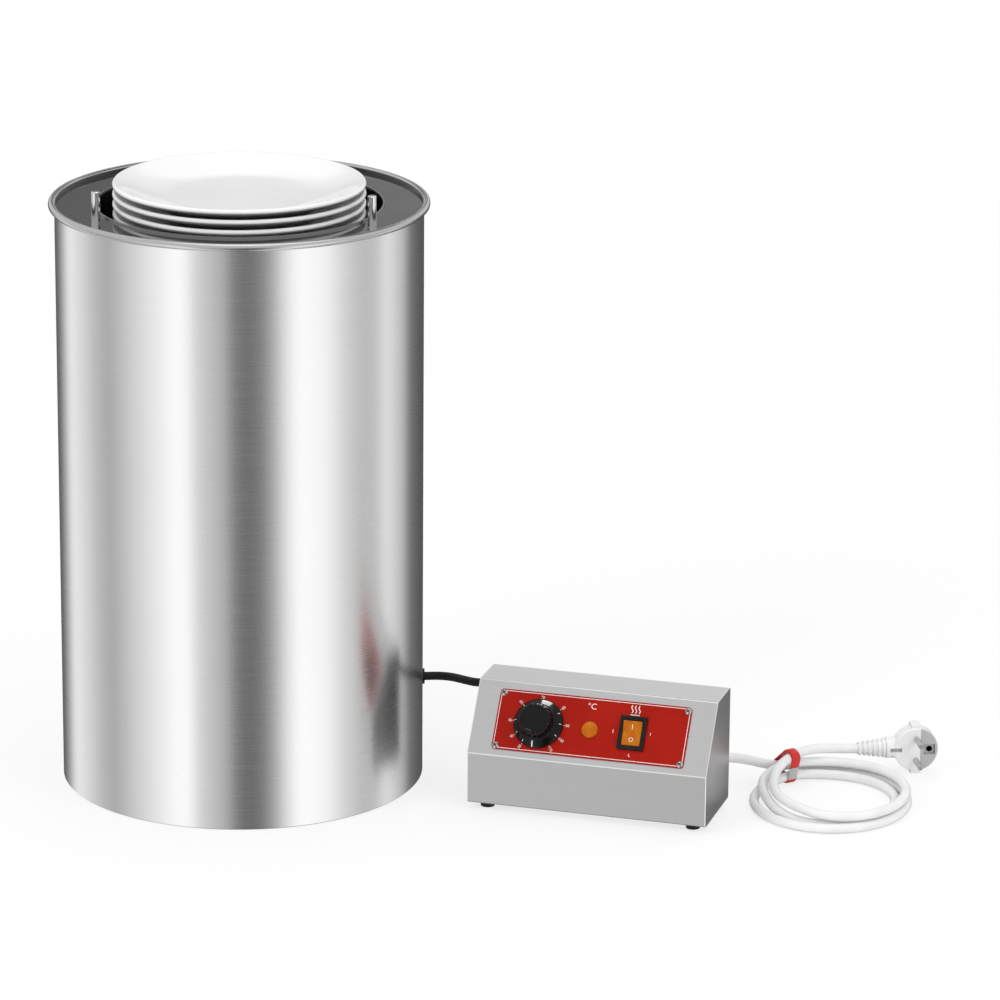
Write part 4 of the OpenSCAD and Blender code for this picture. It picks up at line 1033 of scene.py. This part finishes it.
def words(text, height, u, v, turn=0.0):
    """Outline letters as flat faces, middle at (u, v), turned by an angle: (points, faces)."""
    curve = bpy.data.curves.new("letters", "FONT")
    curve.body = text
    curve.size = height / 0.7
    curve.align_x = "CENTER"
    curve.resolution_u = 4
    holder = linked("letters", curve)
    mesh = bpy.data.meshes.new_from_object(holder)
    points = np.empty(len(mesh.vertices) * 3)
    mesh.vertices.foreach_get("co", points)
    points = points.reshape(-1, 3)
    faces = [list(face.vertices) for face in mesh.polygons]
    bpy.data.objects.remove(holder)
    bpy.data.curves.remove(curve)
    bpy.data.meshes.remove(mesh)
    middle = (points.max(0) + points.min(0)) / 2
    sin, cos = math.sin(turn), math.cos(turn)
    spin = np.array([[cos, -sin, 0], [sin, cos, 0], [0, 0, 1]])
    return move(points - middle, spin, (u, v, 0)), faces


class PLATE_OT_panel(bpy.types.Operator):
    """Finishes the red panel and prints its border, numbers and signs"""

    bl_idname = "plate_warmer.panel_print"
    bl_label = "Panel"

    def execute(self, context):
        setup = settings("print")
        height, line = setup.height / MM, setup.line / MM
        dress(red_panel(), "front_panel")
        ink = Shape()
        proud = PANEL_T + 0.02

        def put(points, faces=None):
            if faces is None:
                ink.grid(on_slope(flat(points), w=proud), round_columns=False)
            else:
                ink.add(on_slope(points, w=proud), faces)

        outer, inner = [
            rounded_loop(
                PANEL_U + edge, PANEL_V + edge, PANEL_U + PANEL_W - edge, PANEL_V + PANEL_H - edge,
                BORDER_R + BORDER_IN - edge,
            )
            for edge in (BORDER_IN - line, BORDER_IN)
        ]
        border = np.stack([outer, inner], axis=1)
        put(np.vstack([border, border[:1]]))
        dial = np.array([DIAL_U, DIAL_V])
        for number, angle in zip(setup.numbers.split(), NUMBER_ANGLES):
            turn = math.radians(angle)
            way = np.array([math.cos(turn), math.sin(turn)])
            if angle == TOP_ANGLE:
                put(*words(number, height, *(dial + way * TOP_NUMBER_R)))
                continue
            left = 90 < angle < 270
            put(*words(number, height, *(dial + way * NUMBER_R), turn + (math.pi if left else 0)))
            put(strip(dial + way * np.linspace(*DASH_R, 3)[:, None], line * 0.9))
        put(*words("°C", CELSIUS_H, *CELSIUS_AT))
        rise = np.linspace(0, 1, 25)[:, None]
        for u in (-HEAT_STEP, 0.0, HEAT_STEP):
            wave = np.hstack([HEAT_U + u + 0.8 * np.sin(rise * TURN), HEAT_V + HEAT_H * rise])
            put(strip(wave, HEAT_LINE))
        foot = [(HEAT_U + u, HEAT_V - 1.6) for u in (-4, 0, 4)]
        put(strip(foot, HEAT_LINE))
        for low, high, width in SIDE_MARKS:
            put(strip(np.linspace(low, high, 3), width))
        hook = np.radians(np.linspace(110, 320, 12))
        put(strip(LOW_MARK + np.stack([0.8 * np.cos(hook), 1.2 * np.sin(hook)], axis=1), 0.45))
        ink.build("panel_print", white_print_and_reflections(), "unit", slot="panel_red", weld=0.001, sharp=30, solid=0.05)
        return {"FINISHED"}


class PLATE_OT_dial(bpy.types.Operator):
    """Builds the dial: glossy sloping skirt, fluted grip and white pointer"""

    bl_idname = "plate_warmer.dial"
    bl_label = "Dial"

    def execute(self, context):
        setup = settings("dial")
        low, skirt, grip, top = DIAL_LOW, DIAL_SKIRT_R, DIAL_GRIP_R, DIAL_TOP
        columns = 288
        section = [
            (skirt - 2.4, low), (skirt, low), (skirt, low + 1.7), (grip + 1.8, low + 5.4),
            (grip + 0.4, low + 5.9), (grip + 0.1, low + 7), (grip - 0.2, top - 2.4), (grip - 1.4, top - 0.5),
            (grip - 3.2, top), (grip - 3.6, top - 0.5), (0.0, top - 0.5),
        ]
        fine = soften(section[:-1], 2)
        profile = np.vstack([fine, section[-1:]])
        points = lathe(profile, columns)
        # Flutes: r falls by depth cos^4 (n a / 2) between the skirt and the rounded top
        angle = np.arange(columns) * TURN / columns
        depth = setup.flute_depth / MM * np.cos(setup.flutes * angle / 2) ** 4
        z = profile[:, 1]
        share = np.clip((z - low - 6.2) / 1.0, 0, 1) * (profile[:, 0] > grip - 2.0)
        away = unit(points * [1, 1, 0] + [1e-9, 0, 0])
        points = points - away * (share[:, None] * depth)[..., None]
        hollow = [(skirt - 2.4, low), (skirt - 2.4, low + 2.8), (6.0, low + 2.8), (6.0, low), (0, low)]
        shape = Shape().grid(on_slope(points, DIAL_U, DIAL_V))
        shape.grid(on_slope(lathe(hollow, columns), DIAL_U, DIAL_V))
        knob = shape.build(
            "dial", black_gloss(), "dial", ["dial_knob", "dial_cap"], "black_plastic", weld=0.01, sharp=50
        )
        dress(polished_steel(), "dial_shaft")
        # The bright card lights the dial alone
        lit = bpy.data.collections.new("lit_by_bright_card")
        lit.objects.link(knob)
        bpy.data.objects["bright_card"].light_linking.receiver_collection = lit
        # The pointer, and a painted reflection of each number: a short white mark on the skirt opposite it
        marks = [(setup.pointer_angle, 0.5, 0.0, 1.0)]
        marks += [(math.radians(a), 0.22, 0.45, 0.85) for a in REFLECTED_NUMBER_ANGLES]
        ink = Shape()
        for turn, half, first, last in marks:
            way, side = np.array([[math.cos(turn), math.sin(turn)], [-math.sin(turn), math.cos(turn)]])
            run = np.linspace(first, last, 6)[:, None, None]
            width = np.array([-half, half])[None, :, None]
            reach = (grip + 2.1) + run * (skirt - grip - 2.4)
            rise = low + 5.25 - run * 3.35
            mark = np.concatenate([way * reach + side * width, rise + 0 * width], axis=-1)
            ink.grid(on_slope(mark, DIAL_U, DIAL_V), round_columns=False)
        ink.build("dial_pointer", white_print_and_reflections(), "dial", slot="black_plastic", weld=0, solid=0.12)
        return {"FINISHED"}


class PLATE_OT_lamp(bpy.types.Operator):
    """Builds the amber lens of the pilot lamp"""

    bl_idname = "plate_warmer.lamp"
    bl_label = "Pilot lamp"

    def execute(self, context):
        # Dome r(a) with ten shallow facets, fading towards its middle
        turn = np.radians(np.linspace(0, 84, 16))
        dome = np.stack([LAMP_R * np.cos(turn), PANEL_T + 1 + LAMP_RISE * np.sin(turn)], axis=1)
        profile = np.vstack([[(LAMP_R, PANEL_T)], dome, [(0, PANEL_T + 1 + LAMP_RISE)]])
        points = lathe(profile, 120)
        angle = np.arange(120) * TURN / 120
        dent = 0.28 * np.abs(np.sin(5 * angle)) * np.sin(np.pi * np.clip((profile[:, :1] - 1.5) / 5.3, 0, 1))
        points[..., 2] -= dent
        shape = Shape().grid(on_slope(points, LAMP_U, LAMP_V), caps=True)
        shape.build("pilot_lens", amber(), "unit", ["lamp_lens"], "amber", weld=0.001, sharp=30)
        dress(black_satin(), "lamp_body")
        return {"FINISHED"}


class PLATE_OT_switch(bpy.types.Operator):
    """Builds the rocker with its two signs and finishes the switch"""

    bl_idname = "plate_warmer.switch"
    bl_label = "Switch"

    def execute(self, context):
        half, tilt, crown = ROCKER_HALF, ROCKER_LEAN, 3.02
        sin, cos = math.sin(tilt), math.cos(tilt)
        rise = np.linspace(-1, 1, 15)
        # Two faces meet in a shallow valley: height 2.3 + 1.3 |s|, softened at the middle
        face = np.stack([rise * half, 2.3 + 1.3 * np.sqrt(rise**2 + 0.006)], axis=1)
        outline = np.vstack([[(-half + 1.6, -5.5), (-half, 0)], face, [(half, 0), (half - 1.6, -5.5)]])
        v, w = (outline @ np.array([[cos, sin], [-sin, cos]])).T
        across = np.array([[-ROCKER_W / 2], [ROCKER_W / 2]])
        points = np.stack(np.broadcast_arrays(across, v, w + ROCKER_OUT), axis=-1)
        shape = Shape().grid(on_slope(points, SWITCH_U, SWITCH_V), caps=True)
        shape.build("rocker", amber(), "rocker", ["rocker_button"], "amber", weld=0, sharp=30, bevel=0.45)
        signs = Shape()
        for text, height, middle in (("I", 4.2, 5.2), ("O", 3.6, -5.2)):
            letters, faces = words(text, height, 0, 0)
            lean = tilt + math.copysign(math.atan2(1.3, half), middle)
            u, v, _ = letters.T
            up = middle * cos - crown * sin + v * math.cos(lean)
            out = middle * sin + crown * cos + ROCKER_OUT + v * math.sin(lean)
            signs.add(on_slope(np.stack([u, up, out], axis=1), SWITCH_U, SWITCH_V), faces)
        signs.build("rocker_signs", white_print_and_reflections(), "rocker", slot="amber", weld=0.001, solid=0.06)
        dress(black_satin(), "switch_frame", "switch_body")
        dress(polished_steel(), "rocker_pin")
        dress(brass(), "switch_terminals")
        return {"FINISHED"}


# ---------- cables and plug ----------

LINK_ROUTE = [
    (140.5, 49.8, 79), (146, 51.7, 79), (152, 53, 79.5), (159, 52.4, 80.1), (166, 49.6, 81.1),
    (173, 45, 82.2), (179.9, 39.6, 83.3), (187, 34.4, 84.4), (194, 30, 85.4), (200.9, 28, 86.5),
    (208.5, 28, 86.5),
]
LEAD_ROUTE = [
    (390, 34, 26), (390, 48, 26), (390, 61, 26), (390.8, 68.8, 25.9), (393.7, 76.2, 25.3),
    (398.5, 82.3, 24.2), (404.5, 87.1, 22.5), (410.9, 91.2, 20.5), (417.4, 95.1, 18.1),
    (423.5, 99.2, 15.3),
]
TAIL_ROUTE = [
    (454.4, 113, 25.4), (459, 119.3, 25.1), (464.5, 125, 24.4), (470.8, 130.2, 23.4),
    (477.3, 134.8, 22.4), (482, 137.8, 21.7),
]
MAINS_D, LINK_D = 8.0, 7.0
RELIEF_AT = (390.0, 36.5, 26.0)
COIL_CENTRE, COIL_R, COIL_START = (490.0, 61.0), 66.5, 138.0
COIL_STEP, COIL_LAYER, COIL_OVAL, TIE_LIFT, TIE_W = 8.7, 8.8, 3.0, 2.3, 9.0
COIL_TURNS, COIL_RINGS = 3, 24
PLUG_TURN = math.radians(24)
PLUG_CENTRE, PLUG_FACE_OUT = (537.8, 163.1, 21.2), 8.8
BOOT_FROM, BOOT_TO, BOOT_WIDE_R, BOOT_NARROW_R = 23.9, 48.0, 8.4, 5.4
EARTH_OUT, EARTH_R, CLASP_Z = 11.3, 2.55, (4.6, 15.5)
PLUG_AXES = np.array([
    [math.cos(PLUG_TURN), 0, math.sin(PLUG_TURN)],
    [math.sin(PLUG_TURN), 0, -math.cos(PLUG_TURN)],
    [0, 1, 0],
])


def ease(x):
    """0 to 1 in an S: x x (3 - 2 x)."""
    x = np.clip(x, 0, 1)
    return x * x * (3 - 2 * x)


def coil_radius(t):
    """Radius of the coil's middle line after t turns."""
    return (
        COIL_R
        + 7 * (1 - ease(t / 0.25))
        - COIL_STEP * 1.15 * ease((t - 0.8) / 0.4)
        + COIL_STEP * ease((t - 1.76) / 0.24)
        - COIL_STEP * 1.75 * ease((t - 2.5) / 0.28)
        + COIL_STEP * ease((t - 2.82) / 0.24)
        - COIL_OVAL * np.cos(2 * (math.radians(COIL_START) - TURN * t))
    )


def coil_height(t):
    """Height of the coil's middle line after t turns."""
    return (
        MAINS_D / 2
        + TIE_LIFT * np.exp(-(((t - np.round(t)) / 0.06) ** 2))
        + 5 * (1 - ease(t / 0.15))
        + COIL_LAYER * ease((t - 1.66) / 0.2)
        + 3 * ease((t - 2.6) / 0.1)
        + 6 * ease((t - 2.8) / 0.2)
    )


def coil_path():
    """The coil's points, with a straight end at either side of the tie."""
    t = np.arange(COIL_TURNS * COIL_RINGS + 1) / COIL_RINGS
    angle = math.radians(COIL_START) - TURN * t
    points = np.column_stack([arc(*COIL_CENTRE, coil_radius(t), angle), coil_height(t)])
    straight = TIE_W / 2 + 0.5
    first, last = unit(points[1] - points[0]), unit(points[-1] - points[-2])
    return np.vstack([points[0] - straight * first, points, points[-1] + straight * last])


def plug_at():
    """Middle of the plug's face."""
    return np.array(PLUG_CENTRE) + PLUG_FACE_OUT * PLUG_AXES[:, 2]


def in_plug(points):
    """Points of the plug (away from the boot, up, along the pins) in the row frame."""
    return move(points, PLUG_AXES, plug_at())


class PLATE_OT_link_cable(bpy.types.Operator):
    """Builds the black cable between drum and box"""

    bl_idname = "plate_warmer.link_cable"
    bl_label = "Link cable"

    def execute(self, context):
        setup = settings("cords")
        path = even_path(LINK_ROUTE, setup.step / MM / 2, 3)
        shape = Shape().grid(tube(path, LINK_D / 2, setup.columns), caps=True)
        cable = shape.build(
            "link_cable_skin", black_rubber(), "unit", ["link_cable"], "black_rubber", weld=0, sharp=60
        )
        return {"FINISHED"}


class PLATE_OT_mains_cord(bpy.types.Operator):
    """Builds the white mains cord, its strain relief and the tie round its coil"""

    bl_idname = "plate_warmer.mains_cord"
    bl_label = "Mains cord"

    def execute(self, context):
        setup = settings("cords")
        mouth = np.array(PLUG_CENTRE) - BOOT_TO * PLUG_AXES[:, 0]
        coil = coil_path()
        last = unit(coil[-1] - coil[-2])
        route = np.vstack([
            LEAD_ROUTE, coil, coil[-1] + 3 * last, TAIL_ROUTE, mouth - 8 * PLUG_AXES[:, 0], mouth,
        ])
        path = even_path(route, setup.step / MM, 4)
        shape = Shape().grid(tube(path, MAINS_D / 2, setup.columns), caps=True)
        cord = shape.build(
            "mains_cord", white_cord(), "unit", ["mains_lead", "mains_coil", "mains_tail"], "cord_white",
            weld=0, sharp=60,
        )
        relief = self.add_relief()
        tie = self.add_tie()
        return {"FINISHED"}

    def add_relief(self):
        """r(y) falls along the cord and swells again at each of five ribs."""
        along = np.linspace(0, 24, 60)
        ribs = 0.45 * np.clip(np.sin(along * TURN / 4.4), -0.6, 0.6) * (along > 4)
        radius = 6.4 - 1.2 * along / 24 + ribs
        bore = MAINS_D / 2 + 0.1
        profile = np.vstack([
            [(bore, -3.2), (8, -3.2), (8, -1.3), (6, -1.2), (6, 0)],
            [(7.6, 0), (8, 0.4), (8, 1.6), (7.6, 2.0)],
            np.stack([radius, along], axis=1)[6:],
            [(radius[-1] - 0.5, 24.2), (bore, 24.2)],
        ])
        spun = lathe(profile, 64)
        turned = np.stack([spun[..., 0], spun[..., 2], -spun[..., 1]], axis=-1) + RELIEF_AT
        shape = Shape().grid(turned, round_rows=True)
        return shape.build(
            "mains_relief_ribbed", white_plug(), "unit", ["mains_relief"], "plug_white", weld=0.001, sharp=50
        )

    def add_tie(self):
        """Band round the strands: in each direction, the farthest strand's middle plus a radius."""
        path = coil_path()
        start = math.radians(COIL_START)
        outwards = np.array([math.cos(start), math.sin(start)])
        crossings = []
        for at in 1 + np.arange(COIL_TURNS + 1) * COIL_RINGS:
            for side in (-1, 1):
                crossings += [path[at], path[at] + TIE_W / 2 * unit(path[at + side] - path[at])]
        crossings = np.array(crossings)
        middles = np.stack([(crossings[:, :2] - COIL_CENTRE) @ outwards, crossings[:, 2]], axis=1)
        angle = np.arange(240) * TURN / 240
        way = arc(0, 0, 1, angle)
        farthest = middles[np.argmax(way @ middles.T, axis=1)]
        half, thick, gap = TIE_W / 2, 1.2, MAINS_D / 2 + 0.5
        # The band's section: across it in half widths, and up in thicknesses, rounded at its edges
        right = np.array([(0.9, 0), (0.98, 0.1), (0.94, 0.7), (0.8, 1.0)])
        section = np.vstack([right, right[::-1] * (-1, 1)]) * (half, thick) + (0, gap)
        flat_place = farthest[None] + section[:, 1][:, None, None] * way[None]
        axes = [[outwards[0], -outwards[1], 0], [outwards[1], outwards[0], 0], [0, 0, 1]]
        along = np.broadcast_to(section[:, 0][:, None], flat_place.shape[:2])
        points = np.stack([flat_place[..., 0], along, flat_place[..., 1]], axis=-1)
        shape = Shape().grid(move(points, axes, (*COIL_CENTRE, 0)), round_rows=True)
        return shape.build("tie_band", tie_plastic(), "unit", ["cord_tie"], "tie_red", weld=0.001, sharp=60)


class PLATE_OT_plug(bpy.types.Operator):
    """Finishes the plug and builds its ribbed strain relief"""

    bl_idname = "plate_warmer.plug"
    bl_label = "Plug"

    def execute(self, context):
        setup = settings("plug")
        start, end, wide, narrow = BOOT_FROM, BOOT_TO, BOOT_WIDE_R, BOOT_NARROW_R
        along = np.linspace(0, 1, 120)
        # r falls from wide to narrow, and drops into a groove between ribs
        groove = np.clip(np.sin(along * TURN * setup.ribs + 0.6) * 3, 0, 1) * 1.3
        radius = wide + (narrow - wide) * along - groove * (along > 0.05) * (along < 0.95)
        side = np.stack([radius, start + along * (end - start)], axis=1)
        profile = np.vstack([[(0, start)], side, [(0, end)]])
        spun = lathe(profile, 72)
        turned = np.stack([-spun[..., 2], spun[..., 0], spun[..., 1] - PLUG_FACE_OUT], axis=-1)
        shape = Shape().grid(in_plug(turned))
        shape.build(
            "plug_boot_ribbed", white_plug(), "unit", ["plug_boot"], "plug_white", weld=0.001, sharp=40
        )
        dress(plug_face(), "plug_body")
        dress(plain_steel(), "plug_pins")
        dress(contact_steel(), "plug_contacts")
        return {"FINISHED"}


# ---------- panel, registration and run ----------

STEPS = (
    "stage", "drum", "heater", "carrier", "plates", "control_box", "panel_print", "dial", "lamp", "switch",
    "link_cable", "plug", "mains_cord",
)


class VIEW3D_PT_plate_warmer(bpy.types.Panel):
    """Lists the pieces and their settings"""

    bl_label = "Plate Warmer"
    bl_space_type = "VIEW_3D"
    bl_region_type = "UI"
    bl_category = "Plate Warmer"

    def draw(self, context):
        for step in STEPS:
            self.layout.operator("plate_warmer." + step)
        for name, group in GROUPS.items():
            box = self.layout.box()
            box.label(text=name.capitalize())
            for key in group.__annotations__:
                box.prop(settings(name), key)


OPERATORS = (
    PLATE_OT_stage, PLATE_OT_drum, PLATE_OT_heater, PLATE_OT_carrier, PLATE_OT_plates, PLATE_OT_control_box,
    PLATE_OT_panel, PLATE_OT_dial, PLATE_OT_lamp, PLATE_OT_switch, PLATE_OT_link_cable, PLATE_OT_plug,
    PLATE_OT_mains_cord,
)
CLASSES = (*GROUPS.values(), *OPERATORS, VIEW3D_PT_plate_warmer)


def register():
    for item in CLASSES:
        bpy.utils.register_class(item)
    for name, group in GROUPS.items():
        setattr(bpy.types.Scene, "plate_warmer_" + name, PointerProperty(type=group))


def unregister():
    for name in GROUPS:
        delattr(bpy.types.Scene, "plate_warmer_" + name)
    for item in reversed(CLASSES):
        bpy.utils.unregister_class(item)


def main():
    register()
    for step in STEPS:
        getattr(bpy.ops.plate_warmer, step)()


if __name__ == "__main__":
    main()
